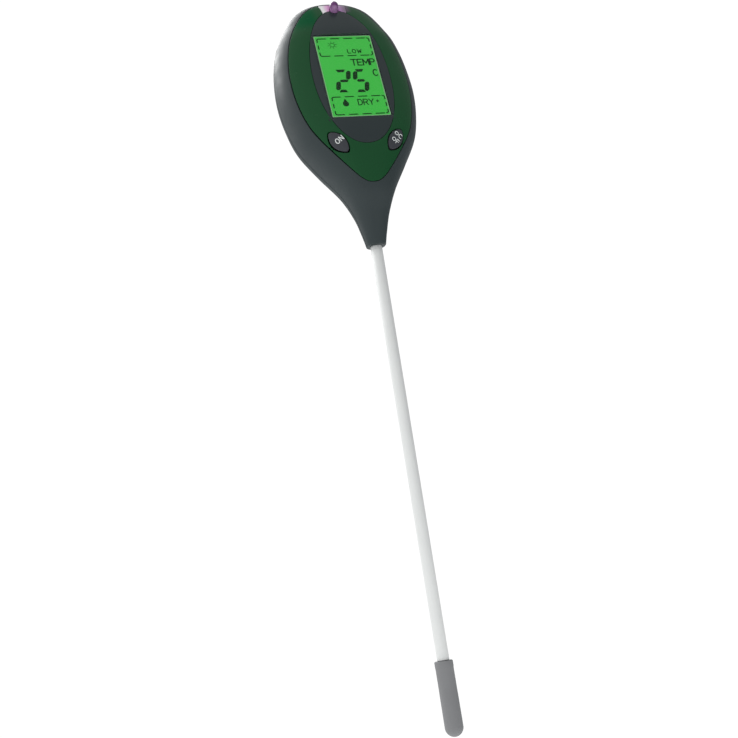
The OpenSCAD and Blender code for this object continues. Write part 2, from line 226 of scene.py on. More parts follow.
def sd_poly(P, poly):
    A = poly
    B = np.roll(poly, -1, 0)
    best = np.full(len(P), 1e9)
    odd = np.zeros(len(P), bool)
    for a, b in zip(A, B):
        e = b - a
        w = P - a
        t = np.clip((w @ e) / max(e @ e, 1e-12), 0, 1)
        d = w - t[:, None] * e
        best = np.minimum(best, (d * d).sum(1))
        c = ((a[1] > P[:, 1]) != (b[1] > P[:, 1]))
        if abs(b[1] - a[1]) > 1e-12:
            x = a[0] + (P[:, 1] - a[1]) * (b[0] - a[0]) / (b[1] - a[1])
            odd ^= c & (P[:, 0] < x)
    return np.where(odd, -1, 1) * np.sqrt(best)


def sd_segs(P, segs, hw):
    best = np.full(len(P), 1e9)
    for a, b in segs:
        a, b = np.asarray(a, float), np.asarray(b, float)
        e = b - a
        w = P - a
        t = np.clip((w @ e) / max(e @ e, 1e-12), 0, 1)
        d = w - t[:, None] * e
        best = np.minimum(best, (d * d).sum(1))
    return np.sqrt(best) - hw


def sd_rrect(P, u0, u1, v0, v1, r):
    c = np.array([(u0 + u1) / 2, (v0 + v1) / 2])
    h = np.array([(u1 - u0) / 2 - r, (v1 - v0) / 2 - r])
    q = np.abs(P - c) - h
    return np.linalg.norm(np.maximum(q, 0), axis=1) + np.minimum(q.max(1), 0) - r


def smax(a, b, k):
    h = np.maximum(k - np.abs(a - b), 0) / k
    return np.maximum(a, b) + h * h * k / 4


PL = [(-52.3, 2.1), (-50.4, 5.2), (-47.6, 7.8), (-43, 11.4), (-37.5, 15.3), (-32, 18.9), (-26, 21.9), (-19.5, 24.0),
      (-12, 25.5), (-4, 26.3), (5, 26.3), (13, 25.4), (20, 23.9), (27, 21.4), (33, 18.2), (38, 14.6), (41, 11.4),
      (43, 7.6), (43.8, 3.5)]
OUTL = spline_closed([(w, v) for v, w in PL] + [(-w, v) for v, w in PL[::-1]], 5)
_a = np.radians(np.arange(0, 360, 3))
_c, _s = np.cos(_a), np.sin(_a)
OVAL = np.stack([17.4 * np.sign(_c) * np.abs(_c) ** np.where(_s >= 0, 1.05, 0.93), np.where(_s >= 0, 39.1 * _s, -36.2 * np.abs(_s) ** 0.93)], -1)
KU, KV, KA = 12.6, -34.5, 53.5
KL, KW = 12.8, 6.2
LR = ((KL / 2) ** 2 + (KW / 2) ** 2) / KW


def sd_leaf(P, s):
    """Leaf of the key on side s (-1 left, 1 right)."""
    a = math.radians(s * KA)
    q = P - np.array([s * KU, KV])
    x = q[:, 0] * math.cos(a) + q[:, 1] * math.sin(a)
    y = -q[:, 0] * math.sin(a) + q[:, 1] * math.cos(a)
    d1 = np.hypot(x, y - (LR - KW / 2)) - LR
    d2 = np.hypot(x, y + (LR - KW / 2)) - LR
    return smax(d1, d2, 0.9)


def sd_outl(P):
    return sd_poly(P, OUTL)


def sd_oval(P):
    return sd_poly(P, OVAL)


def sd_wedge(P):
    return sd_poly(P, np.array([(-5, 33), (5, 33), (6.8, 49), (-6.8, 49)]))


# ---------------------------------------------------------------- contours of a field
def contours(f, box, h, ds=None):
    """Closed lines where f is 0, inside (f < 0) on the left."""
    x0, x1, y0, y1 = box
    nx, ny = int(math.ceil((x1 - x0) / h)) + 1, int(math.ceil((y1 - y0) / h)) + 1
    xs, ys = x0 + np.arange(nx) * h, y0 + np.arange(ny) * h
    G = np.stack(np.meshgrid(xs, ys, indexing="ij"), -1).reshape(-1, 2)
    F = f(G).reshape(nx, ny)
    F = np.where(np.abs(F) < 1e-7, 1e-7, F)
    neg = F < 0
    mixed = neg[:-1, :-1].astype(int) + neg[1:, :-1] + neg[:-1, 1:] + neg[1:, 1:]
    cells = np.argwhere((mixed > 0) & (mixed < 4))
    nxt, pts = {}, {}

    def cross(i, j, k, l):
        a, b = F[i, j], F[k, l]
        t = a / (a - b)
        key = (min((i, j), (k, l)), max((i, j), (k, l)))
        if key not in pts:
            pts[key] = (xs[i] + (xs[k] - xs[i]) * t, ys[j] + (ys[l] - ys[j]) * t)
        return key

    for i, j in cells:
        c = [(i, j), (i + 1, j), (i + 1, j + 1), (i, j + 1)]
        s = [neg[p] for p in c]
        ins, outs = [], []
        for k in range(4):
            a, b = k, (k + 1) % 4
            if s[a] and not s[b]:
                outs.append((k, cross(*c[a], *c[b])))
            elif not s[a] and s[b]:
                ins.append((k, cross(*c[a], *c[b])))
        # walking the cell's edge, a line leaves where inside ends; it starts at the next edge where inside begins
        for k, e in outs:
            m = min(ins, key=lambda q: (q[0] - k) % 4 if (q[0] - k) % 4 else 4)
            nxt[e] = m[1]
    loops = []
    seen = set()
    for start in list(nxt):
        if start in seen:
            continue
        loop, e = [], start
        while e not in seen and e in nxt:
            seen.add(e)
            loop.append(pts[e])
            e = nxt[e]
        if len(loop) > 6:
            loops.append(np.array(loop))
    res = []
    for L in loops:
        L = polish(f, L, h)
        L = resample(L, ds or h)
        L = polish(f, L, h)
        res.append(L)
    return res


def polish(f, L, h):
    for _ in range(3):
        e = h * 0.05
        v = f(L)
        gx = (f(L + [e, 0]) - f(L - [e, 0])) / (2 * e)
        gy = (f(L + [0, e]) - f(L - [0, e])) / (2 * e)
        g = np.stack([gx, gy], -1)
        g2 = np.maximum((g * g).sum(1), 0.2)
        L = L - np.clip(v / g2, -h, h)[:, None] * g
    return L


def resample(L, ds, closed=True):
    C = np.vstack([L, L[:1]]) if closed else L
    s = np.concatenate([[0], np.cumsum(np.linalg.norm(np.diff(C, axis=0), axis=1))])
    n = max(8, int(round(s[-1] / ds)))
    t = np.linspace(0, s[-1], n, endpoint=not closed)
    return np.stack([np.interp(t, s, C[:, k]) for k in range(C.shape[1])], -1)


def area2(L):
    x, y = L[:, 0], L[:, 1]
    return 0.5 * float(np.sum(x * np.roll(y, -1) - np.roll(x, -1) * y))


def inside(P, loops):
    odd = np.zeros(len(P), bool)
    for L in loops:
        A, B = L, np.roll(L, -1, 0)
        for i in range(0, len(P), 20000):
            Q = P[i:i + 20000]
            c = (A[None, :, 1] > Q[:, None, 1]) != (B[None, :, 1] > Q[:, None, 1])
            with np.errstate(divide="ignore", invalid="ignore"):
                x = A[None, :, 0] + (Q[:, None, 1] - A[None, :, 1]) * (B - A)[None, :, 0] / (B - A)[None, :, 1]
            odd[i:i + 20000] ^= ((c & (Q[:, None, 0] < x)).sum(1) % 2).astype(bool)
    return odd


def tri_region(loops, h):
    fixed = []
    for i, L in enumerate(loops):
        depth = sum(int(inside(L[:1], [K])[0]) for j, K in enumerate(loops) if j != i)
        want = 1 if depth % 2 == 0 else -1
        fixed.append(L if area2(L) * want > 0 else L[::-1].copy())
    loops = fixed
    A = np.vstack(loops)
    lo, hi = A.min(0), A.max(0)
    rows = []
    dy = h * 0.866
    for r in range(int((hi[1] - lo[1]) / dy) + 1):
        x = np.arange(lo[0] + (h / 2 if r % 2 else 0), hi[0], h)
        rows.append(np.stack([x, np.full(len(x), lo[1] + r * dy)], -1))
    G = np.vstack(rows) if rows else np.zeros((0, 2))
    G = G[inside(G, loops)]
    near = np.zeros(len(G), bool)
    for i in range(0, len(G), 4000):
        d = np.sqrt(((G[i:i + 4000, None, :] - A[None]) ** 2).sum(2)).min(1)
        near[i:i + 4000] = d < 0.6 * h
    G = G[~near]
    P = np.vstack([A, G])
    edges, rings, k = [], [], 0
    for L in loops:
        n = len(L)
        edges += [(k + i, k + (i + 1) % n) for i in range(n)]
        rings.append(np.arange(k, k + n))
        k += n
    vo, _, fo, ov, _, _ = delaunay_2d_cdt([Vector((float(a), float(b))) for a, b in P], edges, [], 0, 1e-7)
    back = {}
    for i, js in enumerate(ov):
        for j in js:
            back[j] = i
    V = np.array([(v.x, v.y) for v in vo])
    T = np.array([f for f in fo if len(f) == 3], int)
    T = T[inside(V[T].mean(1), loops)]
    a, b, c = V[T[:, 0]], V[T[:, 1]], V[T[:, 2]]
    sgn = (b[:, 0] - a[:, 0]) * (c[:, 1] - a[:, 1]) - (b[:, 1] - a[:, 1]) * (c[:, 0] - a[:, 0])
    T[sgn < 0] = T[sgn < 0][:, ::-1]
    T = T[np.abs(sgn) > 1e-9]
    return V, T, [np.array([back[int(i)] for i in R]) for R in rings]


def solid(amap, loops, h, r=0.28, th=2.0, off=0.0, K=4, thin=None):
    """A closed solid on a surface: its face, rounded edges, walls and underside. Returns vertices, faces, normals."""
    V2, T, rings = tri_region(loops, h)
    P = amap.pos(V2)
    N = amap.nrm(P)
    if callable(off):
        P0 = P + N * off(V2)[:, None]
        e = 0.02
        A = V2 + [e, 0]
        B = V2 + [0, e]
        PA, PB = amap.pos(A), amap.pos(B)
        PA, PB = PA + amap.nrm(PA) * off(A)[:, None], PB + amap.nrm(PB) * off(B)[:, None]
        N0 = np.cross(PA - P0, PB - P0)
        N0 /= np.maximum(np.linalg.norm(N0, axis=1, keepdims=True), 1e-12)
        N0 = np.where(((N0 * N).sum(1) < 0)[:, None], -N0, N0)
        o = off(V2)
    else:
        P0, N0, o = P + N * off, N, np.full(len(V2), off)
    n = len(P0)
    Pb = P0 - N * (th + o)[:, None]
    verts, norms = [P0, Pb], [N0, -N]
    faces = [tuple(t) for t in T] + [tuple(n + t[::-1]) for t in T]
    base = 2 * n
    for R in rings:
        Q, nn = P0[R], N[R]
        t = np.roll(Q, -1, 0) - np.roll(Q, 1, 0)
        t /= np.maximum(np.linalg.norm(t, axis=1, keepdims=True), 1e-12)
        X = np.cross(t, nn)
        X /= np.maximum(np.linalg.norm(X, axis=1, keepdims=True), 1e-12)
        m = len(R)
        prev = R
        for k in range(1, K + 1):
            a = k / K * PI / 2
            verts.append(Q + X * r * math.sin(a) - nn * r * (1 - math.cos(a)))
            norms.append(X * math.sin(a) + nn * math.cos(a))
            cur = base + np.arange(m)
            base += m
            for i in range(m):
                j = (i + 1) % m
                faces.append((prev[i], cur[i], cur[j], prev[j]))
            prev = cur
        verts.append(Pb[R] + X * r)
        norms.append(X)
        cur = base + np.arange(m)
        base += m
        for i in range(m):
            j = (i + 1) % m
            faces.append((prev[i], cur[i], cur[j], prev[j]))
            faces.append((cur[i], n + R[i], n + R[j], cur[j]))
        # the underside's edge joins the wall
    return np.vstack(verts), faces, np.vstack(norms)


def signed_volume(v, f):
    t = np.array([(q[0], q[i], q[i + 1]) for q in f for i in range(1, len(q) - 1)], int)
    a, b, c = v[t[:, 0]], v[t[:, 1]], v[t[:, 2]]
    o = v.mean(0)
    return float(np.einsum("ij,ij->i", a - o, np.cross(b - o, c - o)).sum() / 6)


def outward(part):
    """Turns a closed part's faces, and its normals with them, to face out."""
    v, f, nn = part[:3]
    if signed_volume(v, f) < 0:
        f = [tuple(q)[::-1] for q in f]
    t = np.array([(q[0], q[1], q[2]) for q in f], int)
    g = np.cross(v[t[:, 1]] - v[t[:, 0]], v[t[:, 2]] - v[t[:, 0]])
    if float(np.einsum("ij,ij->i", g, nn[t[:, 0]]).sum()) < 0:
        nn = -nn
    return (v, f, nn) + tuple(part[3:])


def join(*parts):
    V, F, N, M, k = [], [], [], [], 0
    for p in parts:
        p = outward(p)
        v, f, nn = p[:3]
        mi = p[3] if len(p) > 3 else 0
        V.append(v)
        N.append(nn)
        F += [tuple(int(i) + k for i in q) for q in f]
        M += [mi] * len(f)
        k += len(v)
    return np.vstack(V), F, np.vstack(N), M


def make(name, V, F, N, mats, body, slot=None, replaces=(), M=None):
    if M is None:
        V, F, N = outward((np.asarray(V), F, np.asarray(N)))
    me = bpy.data.meshes.new(name)
    me.from_pydata([tuple(p) for p in (np.asarray(V) * 0.001).tolist()], [], [tuple(int(i) for i in f) for f in F])
    me.polygons.foreach_set("use_smooth", [True] * len(me.polygons))
    for m in (mats if isinstance(mats, (list, tuple)) else [mats]):
        me.materials.append(m)
    if M is not None:
        me.polygons.foreach_set("material_index", M)
    me.update()
    if N is not None:
        me.normals_split_custom_set_from_vertices([tuple(x) for x in np.asarray(N).tolist()])
    o = bpy.data.objects.new(name, me)
    bpy.context.scene.collection.objects.link(o)
    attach(o, body)
    if replaces:
        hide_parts(*replaces)
    return o


def flat_normals(V, F):
    """Splits a mesh so that each face has its own corners."""
    V2, F2, N2 = [], [], []
    for f in F:
        p = V[list(f)]
        nn = np.cross(p[1] - p[0], p[2] - p[0])
        if np.linalg.norm(nn) < 1e-12:
            nn = np.cross(p[2] - p[0], p[-1] - p[0])
        nn = nn / max(np.linalg.norm(nn), 1e-12)
        k = len(V2)
        V2 += list(p)
        N2 += [nn] * len(p)
        F2.append(tuple(range(k, k + len(p))))
    return np.array(V2), F2, np.array(N2)


def lathe(profile, seg=96, hard=35, mat=None):
    """A closed profile of (radius, z) turned about Z. Normals are split where the profile turns by more than hard degrees."""
    P = np.asarray(profile, float)
    n = len(P)
    rings, norms = [], []
    faces = []
    ang = np.arange(seg) * 2 * PI / seg
    e = np.roll(P, -1, 0) - P
    L = np.maximum(np.linalg.norm(e, axis=1, keepdims=True), 1e-9)
    en = np.stack([e[:, 1], -e[:, 0]], -1) / L      # outward for a profile that runs up its outer side
    if area2(P) < 0:
        en = -en
    start, end = [], []
    for i in range(n):
        a, b = en[i - 1], en[i]
        c = float(np.clip(a @ b, -1, 1))
        s = a + b
        s = s / max(np.linalg.norm(s), 1e-9)
        if math.degrees(math.acos(c)) < hard:
            start.append(s)
            end.append(s)
        else:
            end.append(a)
            start.append(b)
    V, N = [], []
    for i in range(n):
        j = (i + 1) % n
        if P[i, 0] < 1e-6 and P[j, 0] < 1e-6:
            continue
        for q, nn in ((P[i], start[i]), (P[j], end[j])):
            V.append(np.stack([q[0] * np.cos(ang), q[0] * np.sin(ang), np.full(seg, q[1])], -1))
            N.append(np.stack([nn[0] * np.cos(ang), nn[0] * np.sin(ang), np.full(seg, nn[1])], -1))
        k = (len(V) - 2) * seg
        for s in range(seg):
            t = (s + 1) % seg
            faces.append((k + s, k + t, k + seg + t, k + seg + s))
    V, N = np.vstack(V), np.vstack(N)
    if area2(P) < 0:
        faces = [f[::-1] for f in faces]
    return V, faces, N


def arc(cx, cz, r, a0, a1, n=8):
    return [(cx + r * math.cos(math.radians(a0 + (a1 - a0) * i / n)), cz + r * math.sin(math.radians(a0 + (a1 - a0) * i / n))) for i in range(n + 1)]


def clean(o, dist=2e-6):
    """Welds a piece's doubled points."""
    bm = bmesh.new()
    bm.from_mesh(o.data)
    bmesh.ops.remove_doubles(bm, verts=bm.verts, dist=dist)
    bm.to_mesh(o.data)
    bm.free()


# ---------------------------------------------------------------- materials
def lin(r, g, b):
    return tuple(((c / 255) / 12.92 if c / 255 <= 0.04045 else (((c / 255) + 0.055) / 1.055) ** 2.4) for c in (r, g, b)) + (1.0,)


def material(name, rgb, rough=0.5, metal=0.0, grain=0.0, grain_scale=2500, bump=0.1, bump_scale=3000, var=0.08, var_scale=60,
             rough_var=0.06, coat=0.0, coat_rough=0.05, ior=1.46, stretch=None, emit=None, trans=0.0, spec=0.5, speck=None, alpha=None):
    m = bpy.data.materials.new(name)
    m.use_nodes = True
    nt = m.node_tree
    b = nt.nodes["Principled BSDF"]
    b.inputs["Metallic"].default_value = metal
    b.inputs["IOR"].default_value = ior
    b.inputs["Specular IOR Level"].default_value = spec
    b.inputs["Coat Weight"].default_value = coat
    b.inputs["Coat Roughness"].default_value = coat_rough
    b.inputs["Transmission Weight"].default_value = trans
    tc = nt.nodes.new("ShaderNodeTexCoord")
    src = tc.outputs["Object"]
    if stretch:
        mp = nt.nodes.new("ShaderNodeMapping")
        mp.inputs["Scale"].default_value = stretch
        nt.links.new(src, mp.inputs["Vector"])
        st = mp.outputs["Vector"]
    else:
        st = src
    n1 = nt.nodes.new("ShaderNodeTexNoise")
    n1.inputs["Scale"].default_value = var_scale
    n1.inputs["Detail"].default_value = 4
    nt.links.new(src, n1.inputs["Vector"])
    ramp = nt.nodes.new("ShaderNodeMix")
    ramp.data_type = "RGBA"
    c = np.array(rgb[:3])
    ramp.inputs["A"].default_value = tuple(c * (1 - var)) + (1,)
    ramp.inputs["B"].default_value = tuple(np.minimum(c * (1 + var), 1)) + (1,)
    nt.links.new(n1.outputs["Fac"], ramp.inputs["Factor"])
    col = ramp.outputs["Result"]
    if speck:
        n4 = nt.nodes.new("ShaderNodeTexNoise")
        n4.inputs["Scale"].default_value = speck[0]
        n4.inputs["Detail"].default_value = 2
        nt.links.new(src, n4.inputs["Vector"])
        r4 = nt.nodes.new("ShaderNodeValToRGB")
        r4.color_ramp.elements[0].position = 0.55
        r4.color_ramp.elements[1].position = 0.75
        nt.links.new(n4.outputs["Fac"], r4.inputs["Fac"])
        mx = nt.nodes.new("ShaderNodeMix")
        mx.data_type = "RGBA"
        nt.links.new(r4.outputs["Color"], mx.inputs["Factor"])
        nt.links.new(col, mx.inputs["A"])
        mx.inputs["B"].default_value = speck[1]
        col = mx.outputs["Result"]
    nt.links.new(col, b.inputs["Base Color"])
    n2 = nt.nodes.new("ShaderNodeTexNoise")
    n2.inputs["Scale"].default_value = bump_scale
    n2.inputs["Detail"].default_value = 3
    nt.links.new(st, n2.inputs["Vector"])
    bp = nt.nodes.new("ShaderNodeBump")
    bp.inputs["Strength"].default_value = bump
    bp.inputs["Distance"].default_value = 0.00005
    nt.links.new(n2.outputs["Fac"], bp.inputs["Height"])
    nt.links.new(bp.outputs["Normal"], b.inputs["Normal"])
    n3 = nt.nodes.new("ShaderNodeTexNoise")
    n3.inputs["Scale"].default_value = var_scale * 4
    nt.links.new(st, n3.inputs["Vector"])
    mr = nt.nodes.new("ShaderNodeMapRange")
    mr.inputs["From Min"].default_value = 0.3
    mr.inputs["From Max"].default_value = 0.7
    mr.inputs["To Min"].default_value = max(0.02, rough - rough_var)
    mr.inputs["To Max"].default_value = min(1, rough + rough_var)
    nt.links.new(n3.outputs["Fac"], mr.inputs["Value"])
    nt.links.new(mr.outputs["Result"], b.inputs["Roughness"])
    if emit:
        b.inputs["Emission Color"].default_value = emit[0]
        b.inputs["Emission Strength"].default_value = emit[1]
    if alpha is not None:
        b.inputs["Alpha"].default_value = alpha
    m["look"] = name
    return m


SLATE = material("slate_plastic", lin(47, 57, 59), spec=0.35, rough=0.45, bump=0.06, bump_scale=4200, var=0.05, rough_var=0.05, speck=(7000, lin(54, 63, 66)))
GREEN = material("green_gloss", lin(25, 76, 43), rough=0.24, bump=0.02, bump_scale=900, var=0.07, rough_var=0.04, spec=0.15)
LENS = material("smoked_lens", lin(42, 52, 54), rough=0.2, bump=0.012, bump_scale=700, var=0.04, rough_var=0.04, spec=0.3)
CLEAR = material("clear_film", lin(70, 84, 76), rough=0.05, bump=0.008, bump_scale=500, var=0.02, rough_var=0.02, alpha=0.08)
KEYP = material("key_plastic", lin(58, 60, 66), spec=0.35, rough=0.5, bump=0.15, bump_scale=5000, var=0.06)
LABEL = material("label_print", lin(225, 230, 228), rough=0.5, bump=0.05, bump_scale=5000, var=0.03)
# painted glow: the lcd panel and its border are given emission that stands in for the light falling on them through
# the lens
PANEL = material("lcd_panel", lin(28, 110, 34), rough=0.4, bump=0.01, var=0.03, var_scale=90, spec=0.2, emit=(lin(64, 190, 70), 0.78))
EDGE = material("lcd_edge", lin(120, 170, 120), rough=0.4, spec=0.2, bump=0.02, var=0.05, emit=(lin(120, 185, 120), 0.42))
SEGM = material("lcd_print", lin(6, 58, 16), rough=0.5, spec=0.1, bump=0.02, var=0.05)
DOME = material("violet_lens", lin(104, 28, 112), rough=0.14, bump=0.02, bump_scale=900, var=0.15, var_scale=500, coat=0.6, trans=0.25)
STEEL = material("probe_metal", lin(233, 235, 234), rough=0.6, metal=0.35, spec=0.2, bump=0.08, bump_scale=900, stretch=(1, 1, 0.05), var=0.03, rough_var=0.07)
TIPM = material("tip_metal", lin(196, 196, 190), rough=0.3, metal=1.0, bump=0.08, bump_scale=900, stretch=(1, 1, 0.2), var=0.05)
RUBBER = material("grey_rubber", lin(134, 135, 137), spec=0.35, rough=0.68, bump=0.25, bump_scale=5200, var=0.06, var_scale=120, rough_var=0.08)
BRASS = material("brass_collar", lin(176, 146, 80), rough=0.3, metal=1.0, bump=0.06, stretch=(0.2, 0.2, 1))
SCREW = material("screw_steel", lin(160, 162, 166), rough=0.28, metal=1.0, bump=0.06, var=0.08)
BLACK = material("sensor_black", lin(30, 30, 33), rough=0.35, bump=0.08)
LIGHTG = material("light_guide", lin(225, 238, 226), rough=0.3, bump=0.04, trans=0.3)
ZEBRA = material("zebra", lin(205, 150, 160), rough=0.6, bump=0.2, bump_scale=6000)
WHITE = material("white_plastic", lin(222, 222, 216), rough=0.45, bump=0.06)
BOARD = material("board_green", lin(18, 84, 42), rough=0.35, bump=0.12, bump_scale=1800, coat=0.3)
EPOXY = material("epoxy_black", lin(16, 16, 18), rough=0.3, bump=0.05)
SWB = material("switch_black", lin(26, 26, 28), rough=0.4, bump=0.08)
YEL = material("plunger_yellow", lin(200, 178, 50), rough=0.5, bump=0.06)
JACKET = material("battery_jacket", lin(26, 40, 96), rough=0.42, bump=0.04)
TIN = material("battery_tin", lin(190, 190, 188), rough=0.25, metal=1.0, bump=0.05)
VINYL = material("snap_vinyl", lin(22, 22, 24), rough=0.5, bump=0.15)
REDW = material("wire_red", lin(160, 24, 22), rough=0.45, bump=0.05)
FOAM = material("foam", lin(48, 48, 50), rough=0.95, bump=0.7, bump_scale=2600, var=0.2, var_scale=2200)
INSUL = material("insulator", lin(40, 40, 42), rough=0.5, bump=0.08)
BEAD = material("bead_epoxy", lin(22, 22, 24), rough=0.3, bump=0.05)
ENAM = material("wire_enamel", lin(190, 180, 60), rough=0.35, bump=0.05)


def range_of(nt, value, lo, hi):
    mr = nt.nodes.new("ShaderNodeMapRange")
    mr.interpolation_type = "SMOOTHSTEP"
    mr.inputs["From Min"].default_value = lo
    mr.inputs["From Max"].default_value = hi
    nt.links.new(value, mr.inputs["Value"])
    return mr.outputs["Result"]


def tint_zone(m, colour, zones):
    """Mixes a colour into a material's base where every (axis, from, to) zone is reached. Returns the mask."""
    nt = m.node_tree
    b = nt.nodes["Principled BSDF"]
    base = b.inputs["Base Color"].links[0].from_socket
    tc = nt.nodes.new("ShaderNodeTexCoord")
    sep = nt.nodes.new("ShaderNodeSeparateXYZ")
    nt.links.new(tc.outputs["Object"], sep.inputs["Vector"])
    mask = None
    for axis, lo, hi in zones:
        r = range_of(nt, sep.outputs[axis], lo, hi)
        if mask is None:
            mask = r
        else:
            mu = nt.nodes.new("ShaderNodeMath")
            mu.operation = "MULTIPLY"
            nt.links.new(mask, mu.inputs[0])
            nt.links.new(r, mu.inputs[1])
            mask = mu.outputs["Value"]
    mx = nt.nodes.new("ShaderNodeMix")
    mx.data_type = "RGBA"
    nt.links.new(mask, mx.inputs["Factor"])
    nt.links.new(base, mx.inputs["A"])
    mx.inputs["B"].default_value = colour
    nt.links.new(mx.outputs["Result"], b.inputs["Base Color"])
    return mask


# painted light: the plate's upper left, near the light window, is painted a more saturated green as a painted glow of
# light through it, and has less sheen there
painted_glow_mask = tint_zone(GREEN, lin(4, 84, 48), [("Z", 0.101, 0.109), ("X", -0.007, -0.0115)])
ms = GREEN.node_tree.nodes.new("ShaderNodeMapRange")
ms.inputs["To Min"].default_value = 0.15
ms.inputs["To Max"].default_value = 0.05
GREEN.node_tree.links.new(painted_glow_mask, ms.inputs["Value"])
GREEN.node_tree.links.new(ms.outputs["Result"], GREEN.node_tree.nodes["Principled BSDF"].inputs["Specular IOR Level"])
# painted light: violet light from the dome is painted on the plate to the right of the light window
tint_zone(GREEN, lin(104, 88, 108), [("Z", 0.1125, 0.1152), ("X", 0.0088, 0.0056), ("X", 0.002, 0.004)])
# painted light: the dome is painted paler towards the bright window that it stands in
tint_zone(DOME, lin(172, 124, 178), [("Z", 0.1160, 0.1144)])


def window_material():
    """Clear milky plastic with painted light in its colour: white on the left where bright light shows through, violet
    from the dome that stands in it, darker grey-violet to the right.
    """
    m = material("clear_lens", lin(226, 226, 232), rough=0.14, bump=0.02, bump_scale=900, var=0.03, rough_var=0.04, trans=0.08, coat=0.2)
    nt = m.node_tree
    b = nt.nodes["Principled BSDF"]
    geo = nt.nodes.new("ShaderNodeTexCoord")
    sep = nt.nodes.new("ShaderNodeSeparateXYZ")
    nt.links.new(geo.outputs["Object"], sep.inputs["Vector"])
    mr = nt.nodes.new("ShaderNodeMapRange")
    mr.inputs["From Min"].default_value = -0.0055
    mr.inputs["From Max"].default_value = 0.0055
    nt.links.new(sep.outputs["X"], mr.inputs["Value"])
    # painted light: the ramp runs from white on the left through the dome's violet to a darker grey-violet on the
    # right
    rp = nt.nodes.new("ShaderNodeValToRGB")
    cr = rp.color_ramp
    cr.elements[0].position = 0.0
    cr.elements[0].color = lin(252, 252, 253)
    cr.elements[1].position = 1.0
    cr.elements[1].color = lin(124, 104, 128)
    for pos, c in ((0.10, lin(252, 248, 252)), (0.17, lin(246, 212, 240)), (0.27, lin(244, 176, 230)), (0.34, lin(214, 140, 204)), (0.5, lin(140, 66, 144)),
                   (0.68, lin(178, 110, 186)), (0.8, lin(184, 134, 192)), (0.9, lin(146, 112, 152))):
        e = cr.elements.new(pos)
        e.color = c
    nt.links.new(mr.outputs["Result"], rp.inputs["Fac"])
    nt.links.new(rp.outputs["Color"], b.inputs["Base Color"])
    return m


WINDOW = window_material()

# ---------------------------------------------------------------- shells
FRONT, BACK = FaceMap(True), FaceMap(False)
SF, SB = ShellMap(True), ShellMap(False)
R0 = 0.28
HS = [(-23.5, 15, 15, 20.5), (23.5, 15, 15, 20.5), (-9, -44.5, 17.5, 21.5), (9, -44.5, 17.5, 21.5)]
FINE = 0.6


def ring3(amap, L, ds):
    """Evens out a line's points by their real spacing."""
    P = amap.pos(L)
    s = np.concatenate([[0], np.cumsum(np.linalg.norm(np.diff(np.vstack([P, P[:1]]), axis=0), axis=1))])
    C = np.vstack([L, L[:1]])
    n = max(12, int(round(s[-1] / ds)))
    t = np.linspace(0, s[-1], n, endpoint=False)
    return np.stack([np.interp(t, s, C[:, k]) for k in (0, 1)], -1)


rim_f = ring3(SF, SF.rim(R0 + 0.09, 0.3), FINE)
gap = 0.14
hole = contours(lambda p: sd_outl(p) - (gap + R0), (-30, 30, -56, 47), 0.5, FINE)[0]
hole_f = SF.inv(FRONT.pos(hole))
front_skin = solid(SF, [rim_f, hole_f], 1.1, r=R0, th=1.75)
# the floor under the trim plate, with its openings
floor_loops = contours(lambda p: np.maximum.reduce([sd_outl(p) + 0.3, -sd_rrect(p, -13.6, 13.6, -23.1, 23.1, 0.6),
                                                  -(sd_leaf(p, -1) - 0.9), -(sd_leaf(p, 1) - 0.9), -sd_wedge(p)]), (-30, 30, -56, 47), 0.5, 0.8)
front_floor = solid(FRONT, floor_loops, 2.2, r=0.1, th=2.3, off=-1.35, K=2)


def half_disc(a0, a1, r0, r1, z0, z1, n=36):
    t = np.radians(np.linspace(a0, a1, n))
    rg = []
    for r, z in ((r0, z0), (r1, z0), (r1, z1), (r0, z1)):
        rg.append(np.stack([r * np.cos(t), r * np.sin(t), np.full(n, z)], -1))
    V = np.vstack(rg)
    F = [(k * n + i, k * n + i + 1, ((k + 1) % 4) * n + i + 1, ((k + 1) % 4) * n + i) for k in range(4) for i in range(n - 1)]
    F += [(0, 3 * n, 2 * n, n), (n - 1, 2 * n - 1, 3 * n - 1, 4 * n - 1)]
    return flat_normals(V, F)


def tongue(depth, thick, half, z0):
    """The lip that closes the seam from inside, swept along the parting line."""
    k = TAB[:, 0] >= z0
    W, ym, z = TAB[k, 1][::6], TAB[k, 3][::6], TAB[k, 0][::6]
    keep = W > 3
    W, ym, z = W[keep], ym[keep], z[keep]
    C = np.vstack([np.stack([W, ym, z], -1), np.stack([-W, ym, z], -1)[::-1]])
    C = resample(C, 1.0, closed=False)
    t = np.gradient(C, axis=0)
    t[:, 1] = 0
    t /= np.linalg.norm(t, axis=1, keepdims=True)
    nn = np.stack([t[:, 2], np.zeros(len(t)), -t[:, 0]], -1)
    Y = np.array([0, 1.0, 0])
    rg = [C - nn * depth - Y * half, C - nn * depth + Y * half, C - nn * (depth + thick) + Y * half, C - nn * (depth + thick) - Y * half]
    m = len(C)
    V = np.vstack(rg)
    F = [(k * m + i, k * m + i + 1, ((k + 1) % 4) * m + i + 1, ((k + 1) % 4) * m + i) for k in range(4) for i in range(m - 1)]
    F += [(0, 3 * m, 2 * m, m), (m - 1, 2 * m - 1, 3 * m - 1, 4 * m - 1)]
    return flat_normals(V, F)


V, F, N, M = join(front_skin, front_floor, tongue(1.8, 0.8, 1.6, 7), half_disc(-180, 0, 2.42, 4.0, 0.06, 5.0))
make("front_shell", V, F, N, SLATE, "head", "slate_plastic", ["front_housing"])

